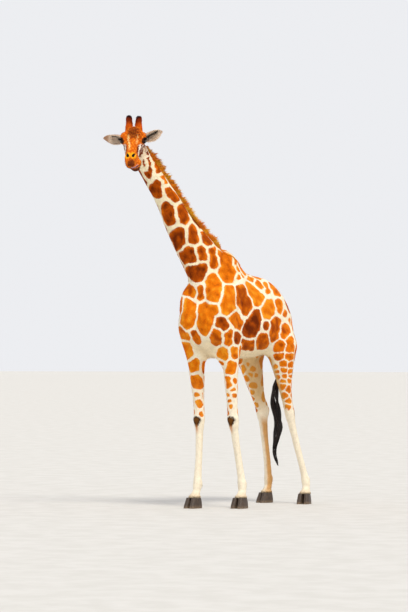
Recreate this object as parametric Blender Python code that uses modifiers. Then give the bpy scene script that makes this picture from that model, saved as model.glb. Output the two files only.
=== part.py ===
"""Reticulated giraffe, a still life-size model standing on its four hooves, in named parts.

Metres. +X is the animal's left, +Y runs towards its tail and +Z is up. While it is modelled the origin lies
on the floor under the forelegs; at the end everything is moved so that it lies under the middle of the box.
The body is built from turned-in-line masses (lofts through named sections), fused into one skin-tight
solid, thinned to a few thousand faces, and parted into head, neck, trunk, legs and tail with thin cuts.
"""

import math

import bmesh
import bpy
import numpy as np
from mathutils import Matrix, Vector

# ---- driving dimensions -------------------------------------------------------------------------------
WITHERS_HEIGHT = 3.05
BODY_LENGTH = 1.86  # breast to buttock
BREAST = -0.42  # y of the front of the chest
KNEE_HEIGHT = 1.03
HOCK_HEIGHT = 1.06
FETLOCK_HEIGHT = 0.29
HOOF_HEIGHT = 0.125
HEAD_LENGTH = 0.71
EYE_RADIUS = 0.027
MANE_HEIGHT = 0.075
HEAD_YAW = math.radians(31.8)  # the face is turned to the animal's left
HEAD_PITCH = math.radians(30)  # and the nose points down
POLL = Vector((-0.558, -0.838, 4.385))  # where the skull sits on the neck

CUT = 0.0006  # how far a cutter is grown to part two pieces
FIT_GAP = 0.0004  # gap round a piece that is let into another
VOXEL = 0.009  # grain of the fused body
BODY_TRIANGLES = 5300

SIDES = {"left": 1, "right": -1}

# Where each leg's joints stand, as (x, y, z), from the top of the limb down to the coronet.
FORELEG_JOINTS = {
    "left": (
        (0.155, 0.12, 2.62),
        (0.225, -0.13, 2.20),
        (0.203, -0.03, 1.84),
        (0.200, 0.05, KNEE_HEIGHT),
        (0.236, 0.17, FETLOCK_HEIGHT),
        (0.244, 0.145, HOOF_HEIGHT),
    ),
    "right": (
        (-0.155, 0.10, 2.62),
        (-0.235, -0.19, 2.20),
        (-0.228, -0.13, 1.84),
        (-0.198, -0.08, KNEE_HEIGHT),
        (-0.208, -0.11, FETLOCK_HEIGHT),
        (-0.212, -0.15, HOOF_HEIGHT),
    ),
}
HINDLEG_JOINTS = {
    "left": (
        (0.130, 1.20, 2.30),
        (0.218, 1.05, 1.83),
        (0.224, 1.205, HOCK_HEIGHT),
        (0.305, 1.41, FETLOCK_HEIGHT),
        (0.322, 1.385, HOOF_HEIGHT),
    ),
    "right": (
        (-0.130, 1.20, 2.30),
        (-0.200, 0.975, 1.83),
        (-0.178, 1.21, HOCK_HEIGHT),
        (-0.215, 1.37, FETLOCK_HEIGHT),
        (-0.222, 1.35, HOOF_HEIGHT),
    ),
}
TOE_OUT = {"fore": 5, "hind": 17}  # degrees that each foot turns outwards
THIGH_FULLNESS = {"left": 1.12, "right": 0.95}  # the left hind leg carries more weight

# The loose skin between the breast and each foreleg.
ARMPIT = {"left": (0.132, -0.05, 1.795), "right": (-0.120, -0.10, 1.855)}

# Sections of the limbs: (place along the joints, half width, reach forward, reach back).
FORELEG_SECTIONS = (
    (0.0, 0.040, 0.10, 0.12),
    (0.45, 0.085, 0.20, 0.20),
    (1.0, 0.120, 0.20, 0.24),
    (1.55, 0.114, 0.18, 0.23),
    (2.0, 0.100, 0.145, 0.175),
    (2.25, 0.086, 0.108, 0.130),
    (2.5, 0.074, 0.088, 0.098),
    (2.75, 0.063, 0.070, 0.074),
    (2.90, 0.064, 0.068, 0.066),
    (3.0, 0.068, 0.074, 0.064),
    (3.08, 0.061, 0.066, 0.060),
    (3.18, 0.047, 0.047, 0.052),
    (3.5, 0.043, 0.040, 0.050),
    (3.8, 0.044, 0.042, 0.054),
    (4.0, 0.055, 0.050, 0.062),
    (4.45, 0.048, 0.046, 0.052),
    (5.0, 0.072, 0.076, 0.066),
)
HINDLEG_SECTIONS = (
    (0.0, 0.075, 0.18, 0.17),
    (0.4, 0.128, 0.28, 0.31),
    (0.6, 0.153, 0.29, 0.335),
    (0.8, 0.165, 0.28, 0.300),
    (1.0, 0.152, 0.238, 0.235),
    (1.25, 0.114, 0.155, 0.185),
    (1.5, 0.088, 0.110, 0.130),
    (1.75, 0.062, 0.080, 0.100),
    (1.88, 0.060, 0.072, 0.118),
    (1.97, 0.060, 0.072, 0.112),
    (2.06, 0.052, 0.060, 0.072),
    (2.22, 0.043, 0.048, 0.054),
    (2.6, 0.041, 0.044, 0.050),
    (2.85, 0.042, 0.046, 0.055),
    (3.0, 0.053, 0.053, 0.060),
    (3.5, 0.047, 0.046, 0.050),
    (4.0, 0.070, 0.073, 0.064),
)

# Trunk: (y, half width, height of the back, height of the belly), measured square across.
TRUNK_AXIS_HEIGHT = 2.20
TRUNK_SECTIONS = (
    (BREAST, 0.14, 2.30, 2.00),
    (-0.33, 0.24, 2.46, 1.89),
    (-0.17, 0.28, 2.70, 1.785),
    (0.02, 0.30, 2.96, 1.765),
    (0.18, 0.31, WITHERS_HEIGHT, 1.785),
    (0.30, 0.315, WITHERS_HEIGHT - 0.13, 1.76),
    (0.42, 0.345, 2.82, 1.755),
    (0.54, 0.368, 2.78, 1.76),
    (0.66, 0.374, 2.76, 1.765),
    (0.90, 0.352, 2.73, 1.81),
    (1.12, 0.286, 2.61, 1.87),
    (1.30, 0.205, 2.445, 1.93),
    (BREAST + BODY_LENGTH, 0.09, 2.30, 2.04),
)

# Neck: (x, y, z, half width, reach towards the nape, towards the throat, turn of its side in degrees).
NECK_SECTIONS = (
    (0.000, 0.14, 2.34, 0.250, 0.44, 0.42, 0),
    (0.000, 0.00, 2.56, 0.225, 0.36, 0.37, 0),
    (-0.035, -0.085, 2.78, 0.195, 0.290, 0.312, -14),
    (-0.090, -0.165, 2.95, 0.170, 0.240, 0.280, -28),
    (-0.152, -0.249, 3.11, 0.150, 0.194, 0.250, -35),
    (-0.252, -0.392, 3.367, 0.127, 0.153, 0.186, -35),
    (-0.336, -0.514, 3.62, 0.113, 0.140, 0.140, -33),
    (-0.454, -0.684, 3.933, 0.100, 0.119, 0.119, -22),
    (-0.513, -0.768, 4.10, 0.096, 0.112, 0.112, -6),
    (-0.566, -0.845, 4.30, 0.088, 0.100, 0.100, 18),
)

# Head, in its own frame: (forward of the poll, height, half width, reach up, reach down).
HEAD_SECTIONS = (
    (-0.060, -0.030, 0.060, 0.070, 0.080),
    (0.000, -0.035, 0.092, 0.120, 0.125),
    (0.070, -0.040, 0.106, 0.158, 0.140),
    (0.150, -0.040, 0.108, 0.170, 0.136),
    (0.230, -0.045, 0.104, 0.148, 0.126),
    (0.310, -0.050, 0.102, 0.118, 0.114),
    (0.400, -0.055, 0.087, 0.096, 0.096),
    (0.490, -0.060, 0.073, 0.083, 0.082),
    (0.570, -0.064, 0.069, 0.078, 0.078),
    (0.630, -0.072, 0.068, 0.072, 0.076),
    (0.680, -0.086, 0.058, 0.052, 0.062),
    (HEAD_LENGTH, -0.096, 0.030, 0.026, 0.030),
)
EYE_PLACE = (0.126, 0.235, 0.010)  # side, forward, up, in the head's frame
OSSICONE_PLACE = (0.052, 0.105, 0.095)
OSSICONE_LENGTH = {"left": 0.143, "right": 0.150}
OSSICONE_LEAN = math.radians(36)  # back from the line of the forehead
EAR_PLACE = (0.086, 0.045, -0.048)
EAR_LENGTH = {"left": 0.245, "right": 0.290}
EAR_LIFT = {"left": math.radians(16), "right": math.radians(-4)}

TAIL_SECTIONS = (
    (0.0, 1.36, 2.27, 0.055),
    (0.0, 1.465, 2.22, 0.046),
    (-0.02, 1.525, 2.05, 0.034),
    (-0.08, 1.53, 1.78, 0.027),
    (-0.155, 1.505, 1.52, 0.023),
)
TUFT_SECTIONS = (
    (-0.157, 1.504, 1.515, 0.020),
    (-0.175, 1.50, 1.40, 0.040),
    (-0.180, 1.50, 1.24, 0.055),
    (-0.158, 1.50, 1.08, 0.062),
    (-0.124, 1.50, 0.93, 0.062),
    (-0.148, 1.50, 0.76, 0.052),
    (-0.186, 1.50, 0.64, 0.034),
    (-0.165, 1.50, 0.53, 0.022),
    (-0.140, 1.50, 0.44, 0.006),
)

COLOURS = {
    "coat": (0.62, 0.30, 0.10, 1),
    "mane": (0.45, 0.18, 0.06, 1),
    "horn": (0.30, 0.12, 0.04, 1),
    "hoof": (0.10, 0.08, 0.06, 1),
    "eye": (0.02, 0.012, 0.01, 1),
    "tail_hair": (0.02, 0.018, 0.018, 1),
}


# ---- small tools --------------------------------------------------------------------------------------
def clear_scene():
    for obj in list(bpy.data.objects):
        bpy.data.objects.remove(obj)


def new_collection(name):
    collection = bpy.data.collections.new(name)
    bpy.context.scene.collection.children.link(collection)
    return collection


def material(name, roughness=0.8):
    made = bpy.data.materials.new(name)
    made.use_nodes = True
    shader = made.node_tree.nodes["Principled BSDF"]
    shader.inputs["Base Color"].default_value = COLOURS[name]
    shader.inputs["Roughness"].default_value = roughness
    return made


def object_from(bm, name, collection):
    """A new object that holds the bmesh, with its faces turned outwards."""
    bmesh.ops.recalc_face_normals(bm, faces=bm.faces)
    mesh = bpy.data.meshes.new(name)
    bm.to_mesh(mesh)
    bm.free()
    obj = bpy.data.objects.new(name, mesh)
    collection.objects.link(obj)
    return obj


def smooth_rows(rows, steps):
    """Rows of numbers with steps - 1 more between each pair, on a Catmull-Rom curve through them."""
    rows = np.array(rows, float)
    ends = np.vstack([2 * rows[0] - rows[1], rows, 2 * rows[-1] - rows[-2]])
    out = []
    for i in range(len(rows) - 1):
        a, b, c, d = ends[i : i + 4]
        for t in np.arange(steps) / steps:
            out.append(0.5 * (2 * b + (c - a) * t + (2 * a - 5 * b + 4 * c - d) * t**2 + (3 * b - a - 3 * c + d) * t**3))
    return np.array(out + [rows[-1]])


def along(points, places):
    """Points on the smooth line through the joints, at each place (1.5 is half way from joint 1 to 2)."""
    steps = 20
    fine = smooth_rows(points, steps)
    at = np.array(places, float) * steps
    return np.stack([np.interp(at, np.arange(len(fine)), column) for column in fine.T], 1)


def loft(name, rows, sides, collection, steps=3, square=2.0, square_to=None):
    """A closed tube through sections (centre x, y, z, half width, reach one way, the other way, turn).

    The width lies level, its direction turned from +X by `turn` degrees; the two reaches lie square to it
    and to the line of the centres (or to `square_to`), the first of them on the side of (line x width).
    """
    rows = smooth_rows(rows, steps)
    bm = bmesh.new()
    rings = []
    for i, (x, y, z, width, reach, other, turn) in enumerate(rows):
        ahead = rows[min(i + 1, len(rows) - 1), :3] - rows[max(i - 1, 0), :3]
        line = Vector(square_to or ahead).normalized()
        level = Vector((math.cos(math.radians(turn)), math.sin(math.radians(turn)), 0))
        across = (level - line * line.dot(level)).normalized()
        up = line.cross(across)
        ring = []
        for k in range(sides):
            c, s = math.cos(math.tau * k / sides), math.sin(math.tau * k / sides)
            c = math.copysign(abs(c) ** (2 / square), c) * max(width, 0.002)
            s = math.copysign(abs(s) ** (2 / square), s) * max(reach if s > 0 else other, 0.002)
            ring.append(bm.verts.new(Vector((x, y, z)) + across * c + up * s))
        rings.append(ring)
    for low, high in zip(rings, rings[1:]):
        for k in range(sides):
            n = (k + 1) % sides
            bm.faces.new((low[k], low[n], high[n], high[k]))
    bm.faces.new(rings[0])
    bm.faces.new(rings[-1])
    return object_from(bm, name, collection)


def ball(name, centre, radii, collection, turn=None, segments=20, rings=12):
    """An ellipsoid with these three radii, turned by a 3x3 matrix."""
    bm = bmesh.new()
    bmesh.ops.create_uvsphere(bm, u_segments=segments, v_segments=rings, radius=1)
    place = Matrix.Translation(centre) @ (turn or Matrix.Identity(3)).to_4x4() @ Matrix.Diagonal((*radii, 1))
    bmesh.ops.transform(bm, matrix=place, verts=bm.verts)
    return object_from(bm, name, collection)


def block(name, size, place, collection):
    """A box of this size, its middle at the place, which is a point or a 4x4 matrix."""
    bm = bmesh.new()
    bmesh.ops.create_cube(bm, size=1)
    where = place if isinstance(place, Matrix) else Matrix.Translation(place)
    bmesh.ops.transform(bm, matrix=where @ Matrix.Diagonal((*size, 1)), verts=bm.verts)
    return object_from(bm, name, collection)


def apply_modifiers(obj):
    graph = bpy.context.evaluated_depsgraph_get()
    mesh = bpy.data.meshes.new_from_object(obj.evaluated_get(graph))
    obj.modifiers.clear()
    obj.data = mesh


def boolean(obj, operation, other):
    modifier = obj.modifiers.new(operation.lower(), "BOOLEAN")
    modifier.operation = operation
    modifier.object = other
    modifier.solver = "EXACT"
    apply_modifiers(obj)


def copy_of(obj, name, collection, grown=0.0):
    """A copy of a solid, its faces moved out by `grown`."""
    twin = bpy.data.objects.new(name, obj.data.copy())
    collection.objects.link(twin)
    if grown:
        swell = twin.modifiers.new("swell", "DISPLACE")
        swell.strength = grown
        swell.mid_level = 0
        apply_modifiers(twin)
    return twin


def head_matrix():
    """Turns head coordinates (side, forward, up) into the model's."""
    forward = Vector(
        (
            math.sin(HEAD_YAW) * math.cos(HEAD_PITCH),
            -math.cos(HEAD_YAW) * math.cos(HEAD_PITCH),
            -math.sin(HEAD_PITCH),
        )
    )
    side = Vector((math.cos(HEAD_YAW), math.sin(HEAD_YAW), 0))
    up = forward.cross(side)
    turn = Matrix((side, forward, up)).transposed()
    return Matrix.Translation(POLL) @ turn.to_4x4()


def set_on_head(obj, place=None):
    """Moves a mesh from head coordinates into the model's, and keeps its faces turned outwards."""
    move = head_matrix() @ (place or Matrix.Identity(4))
    obj.data.transform(move)
    if move.determinant() < 0:
        obj.data.flip_normals()


# ---- the masses of the body -------------------------------------------------------------------------
def torso_masses(helpers):
    axis = TRUNK_AXIS_HEIGHT
    rows = [(0, y, axis, width, back - axis, axis - belly, 180) for y, width, back, belly in TRUNK_SECTIONS]
    masses = [
        loft("trunk_mass", rows, 28, helpers, square=2.1, square_to=(0, 1, 0)),
        loft("neck_mass", NECK_SECTIONS, 26, helpers),
    ]
    tilt = Matrix.Rotation(math.radians(-28), 3, "X")
    for sign in SIDES.values():
        masses += [
            ball("breast", (0.125 * sign, BREAST + 0.10, 2.17), (0.135, 0.14, 0.24), helpers),
            ball("shoulder", (0.195 * sign, -0.17, 2.34), (0.16, 0.24, 0.33), helpers),
            ball("blade", (0.205 * sign, 0.06, 2.48), (0.10, 0.20, 0.33), helpers, tilt),
            ball("hip", (0.175 * sign, 0.98, 2.44), (0.10, 0.16, 0.12), helpers),
            ball("rump", (0.095 * sign, 1.19, 2.22), (0.13, 0.18, 0.22), helpers),
        ]
    return masses


def leg_masses(helpers):
    masses = []
    for side, sign in SIDES.items():
        for kind, joints, sections in (
            ("fore", FORELEG_JOINTS[side], FORELEG_SECTIONS),
            ("hind", HINDLEG_JOINTS[side], HINDLEG_SECTIONS),
        ):
            centres = along(joints, [row[0] for row in sections])
            rows = []
            for centre, (place, *reaches) in zip(centres, sections):
                full = THIGH_FULLNESS[side] if kind == "hind" and 0.7 < place < 1.4 else 1
                rows.append((*centre, *(full * reach for reach in reaches), TOE_OUT[kind] * sign))
            # the last ring runs on below the coronet, where it is cut level
            rows.append((rows[-1][0], rows[-1][1], HOOF_HEIGHT - 0.04, *rows[-1][3:]))
            masses.append(loft(f"{kind}_{side}_mass", rows, 20, helpers))
        elbow = Vector(FORELEG_JOINTS[side][2])
        masses.append(ball("elbow", elbow + Vector((0.01 * sign, 0.12, 0.03)), (0.07, 0.07, 0.13), helpers))
        masses.append(ball("armpit", ARMPIT[side], (0.075, 0.11, 0.13), helpers))
    return masses


def head_masses(helpers):
    """The skull, muzzle and jaw, modelled in the head's frame and then set on the poll."""
    rows = [(0, forward, height, width, up, down, 180) for forward, height, width, up, down in HEAD_SECTIONS]
    masses = [
        loft("skull", rows, 24, helpers, square=2.2),
        ball("brow", (0, 0.165, 0.092), (0.070, 0.085, 0.052), helpers),
        ball("upper_lip", (0.012, 0.672, -0.090), (0.058, 0.048, 0.046), helpers),
        ball("chin", (0.044, 0.625, -0.156), (0.052, 0.062, 0.036), helpers),
        ball("lower_lip", (0.066, 0.560, -0.125), (0.042, 0.080, 0.046), helpers),
        ball("throat", (0.02, 0.030, -0.115), (0.085, 0.105, 0.085), helpers),
    ]
    for sign in SIDES.values():
        masses += [
            ball("orbit", (0.111 * sign, 0.228, 0.012), (0.045, 0.066, 0.050), helpers),
            ball("brow_ridge", (0.108 * sign, 0.190, 0.056), (0.044, 0.060, 0.036), helpers),
            ball("cheek", (0.062 * sign, 0.180, -0.085), (0.040, 0.120, 0.085), helpers),
            ball("nostril", (0.040 * sign, 0.615, -0.020), (0.032, 0.046, 0.026), helpers),
            ball("boss", (OSSICONE_PLACE[0] * sign, 0.110, 0.085), (0.044, 0.052, 0.060), helpers),
        ]
    for mass in masses:
        set_on_head(mass)
    return masses


def tail_mass(helpers):
    rows = [(x, y, z, radius, radius, radius, 0) for x, y, z, radius in TAIL_SECTIONS]
    return loft("tail_mass", rows, 14, helpers)


def relax(mesh, rounds, out=-0.52, low=-1.0, high=9.0):
    """Smooths a mesh: each round moves the points in, then out again, so that it doesn't shrink.

    With `out` at 0 broad creases go too. Only the points between the two heights move.
    """
    count = len(mesh.vertices)
    places = np.empty(count * 3)
    mesh.vertices.foreach_get("co", places)
    places = places.reshape(-1, 3)
    ends = np.empty(len(mesh.edges) * 2, int)
    mesh.edges.foreach_get("vertices", ends)
    a, b = ends.reshape(-1, 2).T
    share = 1 / np.maximum(np.bincount(a, minlength=count) + np.bincount(b, minlength=count), 1)
    amount = np.clip(np.minimum(places[:, 2] - low, high - places[:, 2]) / 0.4, 0, 1)[:, None]
    for step in (0.5, out) * rounds:
        near = [np.bincount(a, places[b, i], count) + np.bincount(b, places[a, i], count) for i in range(3)]
        places = places + step * amount * (np.stack(near, 1) * share[:, None] - places)
    mesh.vertices.foreach_set("co", places.ravel())
    mesh.update()


def grow(obj, distance):
    swell = obj.modifiers.new("swell", "DISPLACE")
    swell.strength = distance
    swell.mid_level = 0


def remesh(obj):
    skin = obj.modifiers.new("remesh", "REMESH")
    skin.mode = "VOXEL"
    skin.voxel_size = VOXEL


def fused(name, masses, fillet, collection):
    """One closed solid from overlapping masses, the creases between them filled with this radius."""
    bm = bmesh.new()
    for mass in masses:
        bm.from_mesh(mass.data)
        bpy.data.objects.remove(mass)
    body = object_from(bm, name, collection)
    remesh(body)
    apply_modifiers(body)
    relax(body.data, 4)
    grow(body, fillet)
    remesh(body)
    apply_modifiers(body)
    relax(body.data, 4)
    grow(body, -fillet)
    remesh(body)
    apply_modifiers(body)
    return body


# ---- the separate pieces ----------------------------------------------------------------------------
def hooves(parts):
    """Two claws under each coronet, flat on the floor, a cleft apart."""
    cleft = 0.007
    # (height, half width, reach back, reach forward)
    profile = (
        (0.0, 0.041, 0.078, 0.122),
        (0.035, 0.041, 0.078, 0.112),
        (0.085, 0.038, 0.074, 0.090),
        (HOOF_HEIGHT - FIT_GAP, 0.035, 0.066, 0.075),
    )
    for side, sign in SIDES.items():
        for kind, joints in (("fore", FORELEG_JOINTS[side]), ("hind", HINDLEG_JOINTS[side])):
            x, y, _ = joints[-1]
            size = 1.0 if kind == "fore" else 0.94
            turn = math.radians(TOE_OUT[kind] * sign)
            for claw, way in (("outer", sign), ("inner", -sign)):
                rows = []
                for height, width, back, front in profile:
                    out = (width * size + cleft / 2) * way
                    place = (x + out * math.cos(turn), y + out * math.sin(turn), height)
                    rows.append((*place, width * size, back * size, front * size, math.degrees(turn)))
                loft(f"hoof_{kind}_{side}_{claw}", rows, 14, parts, steps=1, square=2.6, square_to=(0, 0, 1))


def eyes(parts):
    made = []
    for side, sign in SIDES.items():
        centre = head_matrix() @ Vector((EYE_PLACE[0] * sign, *EYE_PLACE[1:]))
        made.append(ball(f"eye_{side}", centre, (EYE_RADIUS,) * 3, parts, segments=12, rings=8))
    return made


def ossicones(parts):
    """The two skin-covered horns, slimmer towards a rounded top, leaning back and a little apart."""
    profile = (  # radius, share of the length
        (0.044, -0.40),
        (0.048, 0.00),
        (0.044, 0.26),
        (0.037, 0.50),
        (0.032, 0.70),
        (0.029, 0.84),
        (0.023, 0.95),
        (0.010, 1.00),
    )
    made = []
    for side, sign in SIDES.items():
        rows = [(0, 0, share * OSSICONE_LENGTH[side], radius, radius, radius, 0) for radius, share in profile]
        horn = loft(f"ossicone_{side}", rows, 12, parts, steps=1)
        lean = Matrix.Rotation(OSSICONE_LEAN, 4, "X") @ Matrix.Rotation(math.radians(3) * sign, 4, "Y")
        place = Matrix.Translation((OSSICONE_PLACE[0] * sign, *OSSICONE_PLACE[1:]))
        set_on_head(horn, place @ lean)
        made.append(horn)
    return made


def ears(parts):
    """Leaf-shaped cups: rolled almost shut at the root, opening forwards, flatter and pointed at the tip."""
    made = []
    lengthwise, across = 9, 7
    for side, sign in SIDES.items():
        bm = bmesh.new()
        rows = []
        for i in range(lengthwise):
            u = i / (lengthwise - 1)
            half_arc = 0.008 + 0.082 * math.sin(math.pi * (0.17 + 0.83 * u)) ** 0.75 * (1 - 0.15 * u)
            curl = math.radians(125 - 85 * u)
            radius = half_arc / curl
            row = []
            for k in range(across):
                turn = (2 * k / (across - 1) - 1) * curl
                # x runs out along the ear, y faces forwards, z is up
                row.append(bm.verts.new((EAR_LENGTH[side] * u, radius * (0.7 - math.cos(turn)), radius * math.sin(turn))))
            rows.append(row)
        for low, high in zip(rows, rows[1:]):
            for k in range(across - 1):
                bm.faces.new((low[k], low[k + 1], high[k + 1], high[k]))
        ear = object_from(bm, f"ear_{side}", parts)
        shell = ear.modifiers.new("shell", "SOLIDIFY")
        shell.thickness = 0.007
        shell.offset = 0
        apply_modifiers(ear)
        aim = Matrix.Rotation(-EAR_LIFT[side], 4, "Y") @ Matrix.Rotation(math.radians(-6), 4, "Z")
        mirror = Matrix.Diagonal((sign, 1, 1, 1))
        set_on_head(ear, mirror @ Matrix.Translation(EAR_PLACE) @ aim)
        made.append(ear)
    return made


def mane(parts):
    """The stiff mane as one ridge along the nape, from the poll to the withers."""
    rows = smooth_rows(NECK_SECTIONS[2:], 2)
    line = np.gradient(rows[:, :3], axis=0)
    line /= np.linalg.norm(line, axis=1)[:, None]
    turn = np.radians(rows[:, 6])
    level = np.stack((np.cos(turn), np.sin(turn), 0 * turn), 1)
    level -= line * (line * level).sum(1)[:, None]
    nape = np.cross(line, level / np.linalg.norm(level, axis=1)[:, None])
    crest = []
    for i, row in enumerate(rows):
        height = (MANE_HEIGHT + 0.03 * (i < 5)) * math.sin(math.pi * (i + 1) / (len(rows) + 1)) ** 0.35
        crest.append((*(row[:3] + nape[i] * (row[4] + 0.005)), 0.017, height, 0.05, row[6]))
    return loft("mane", crest, 8, parts, steps=1)


def tail_tuft(parts):
    rows = [(x, y, z, radius, radius * 0.8, radius * 0.8, 0) for x, y, z, radius in TUFT_SECTIONS]
    return loft("tail_tuft", rows, 10, parts, steps=1)


# ---- parting the body -------------------------------------------------------------------------------
def leg_cutter(name, joints, helpers):
    """A block round one leg; its top, just under the belly, rises outwards."""
    sign = math.copysign(1, joints[0][0])
    long, wide, tall = 0.70, 0.60, 2.0
    middle = joints[1][1] + 0.12 if "hind" in name else joints[2][1] + 0.02
    cutter = block(name, (wide, long, tall), ((0.035 + wide / 2) * sign, middle, 1.735 - tall / 2), helpers)
    for vertex in cutter.data.vertices:
        vertex.co.z += 0.2 * (abs(vertex.co.x) - 0.035)
    return cutter


def cut_out(body, name, cutter, parts, helpers):
    """The piece of the body inside the cutter becomes its own object, a thin cut away from the rest."""
    piece = copy_of(body, name, parts)
    boolean(piece, "INTERSECT", cutter)
    boolean(body, "DIFFERENCE", copy_of(cutter, f"{name}_kerf", helpers, CUT))
    return piece


def neck_cutter(helpers):
    """A box along the neck, from above the withers to behind the jaw."""
    low, high = Vector(NECK_SECTIONS[3][:3]), Vector(NECK_SECTIONS[8][:3])
    axis = (high - low).normalized()
    turn = axis.to_track_quat("Z", "X").to_matrix().to_4x4()
    length = (high - low).length
    place = Matrix.Translation(low + axis * length / 2) @ turn
    return block("neck_cutter", (0.66, 0.66, length), place, helpers)


def settle(objects):
    """Moves everything so that the origin lies under the middle of the box, on the floor."""
    points = np.array([vertex.co for obj in objects for vertex in obj.data.vertices])
    low, high = points.min(0), points.max(0)
    shift = Matrix.Translation((-(low[0] + high[0]) / 2, -(low[1] + high[1]) / 2, -low[2]))
    for obj in objects:
        obj.data.transform(shift)
    print("settled by", shift.translation)


def main():
    clear_scene()
    parts = new_collection("reticulated_giraffe")
    helpers = new_collection("cutters")
    helpers.hide_render = True
    torso = fused("torso", torso_masses(helpers) + leg_masses(helpers), 0.045, helpers)
    relax(torso.data, 90, out=0, low=1.45, high=3.3)
    skull = fused("skull_solid", head_masses(helpers), 0.014, helpers)
    body = fused("trunk", [torso, skull, tail_mass(helpers)], 0.012, parts)
    relax(body.data, 30)
    thin = body.modifiers.new("thin", "DECIMATE")
    thin.ratio = BODY_TRIANGLES / (2 * len(body.data.polygons))
    apply_modifiers(body)
    below = block("below", (3, 4, 1), (0, 0.5, HOOF_HEIGHT + FIT_GAP - 0.5), helpers)
    boolean(body, "DIFFERENCE", below)

    for eye in eyes(parts):
        boolean(body, "DIFFERENCE", copy_of(eye, f"{eye.name}_socket", helpers, FIT_GAP))
    whole = copy_of(body, "whole", helpers, FIT_GAP)
    for piece in [*ossicones(parts), *ears(parts), mane(parts), tail_tuft(parts)]:
        boolean(piece, "DIFFERENCE", whole)
    hooves(parts)

    for side in SIDES:
        for kind, joints in (("fore", FORELEG_JOINTS[side]), ("hind", HINDLEG_JOINTS[side])):
            name = f"leg_{kind}_{side}"
            cut_out(body, name, leg_cutter(name + "_cutter", joints, helpers), parts, helpers)
    cut_out(body, "neck", neck_cutter(helpers), parts, helpers)
    cut_out(body, "head", block("head_cutter", (2, 2, 2), (-0.5, -0.9, 4.6), helpers), parts, helpers)
    cut_out(body, "tail", block("tail_cutter", (0.5, 0.3, 1.2), (-0.1, 1.62, 1.68), helpers), parts, helpers)

    looks = {name: material(name) for name in COLOURS}
    for obj in parts.objects:
        kind = "coat"
        for word, look in (("hoof", "hoof"), ("eye", "eye"), ("ossicone", "horn"), ("mane", "mane"), ("tuft", "tail_hair")):
            if word in obj.name:
                kind = look
        obj.data.materials.clear()
        obj.data.materials.append(looks[kind])
        for face in obj.data.polygons:
            face.use_smooth = False
    settle(list(parts.objects))


main()
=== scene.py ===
"""Looks of the reticulated giraffe: one skin over the CAD solids, its markings, coat, mane, tail and eyes.

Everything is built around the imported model, in its frame: metres, +X the animal's left, the chest towards
-Y, +Z up. Body parts are described along "bones", which are lines through the limbs, trunk, neck and tail.
"""

import math
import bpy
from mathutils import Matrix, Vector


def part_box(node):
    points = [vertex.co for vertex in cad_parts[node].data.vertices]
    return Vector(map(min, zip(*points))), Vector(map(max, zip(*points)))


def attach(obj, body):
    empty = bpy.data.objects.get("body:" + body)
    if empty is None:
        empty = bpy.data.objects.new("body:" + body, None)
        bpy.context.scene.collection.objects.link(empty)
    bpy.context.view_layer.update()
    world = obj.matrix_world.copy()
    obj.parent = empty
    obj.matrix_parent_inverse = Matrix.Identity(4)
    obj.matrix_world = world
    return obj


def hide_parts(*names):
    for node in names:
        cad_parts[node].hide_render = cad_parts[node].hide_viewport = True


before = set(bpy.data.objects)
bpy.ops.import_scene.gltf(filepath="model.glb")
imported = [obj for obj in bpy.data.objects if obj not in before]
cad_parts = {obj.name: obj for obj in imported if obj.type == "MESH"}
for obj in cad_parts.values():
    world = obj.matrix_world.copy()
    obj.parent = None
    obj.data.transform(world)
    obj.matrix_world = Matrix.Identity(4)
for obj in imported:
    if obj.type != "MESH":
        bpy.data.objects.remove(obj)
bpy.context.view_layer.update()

import bmesh
import bpy
import numpy as np
from mathutils import Vector
from mathutils.bvhtree import BVHTree

RNG = np.random.default_rng(7)

# ---- sizes ------------------------------------------------------------------------------------------
# The bones are measured from the floor under the forelegs, from where the middle of the eyes lies here.
EYES_FROM_ORIGIN = (-0.4481, -1.0152)
ORIGIN = sum(np.array(corner) for side in ("left", "right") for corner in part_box(f"eye_{side}")) / 4
ORIGIN = np.array((ORIGIN[0] - EYES_FROM_ORIGIN[0], ORIGIN[1] - EYES_FROM_ORIGIN[1], 0.0))
HEAD_PITCH = math.radians(30)
EYE_RADIUS = 0.027
EYE_FORWARD, EYE_UP = 0.235, 0.010  # the eyes' place ahead of and above the poll
COAT_DEPTH = 0.004
HEAD_BOTTOM = 3.8  # no point of the head lies lower
SKIN_BOTTOM = 0.126  # the skin ends here, at the top of the hooves
NOSTRIL = (0.034, 0.603, -0.002)  # side, forward, up in the head's frame
LID_LONG, LID_HIGH, LID_THICK = 0.0245, 0.0195, 0.0040

FLESH = (
    "head", "neck", "trunk", "tail",
    "leg_fore_left", "leg_fore_right", "leg_hind_left", "leg_hind_right",
)
EARS = ("ear_left", "ear_right")
SIDES = {"left": 1, "right": -1}
LIMBS = ("fore_left", "fore_right", "hind_left", "hind_right")

# The skin is remeshed under a lens that makes the head larger, so that its grain is finest there.
GRAIN, HORN_GRAIN, HOOF_GRAIN = 0.016, 0.0045, 0.0042
LENS_POWER, LENS_FULL, LENS_END = 4.5, 0.46, 0.8

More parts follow.
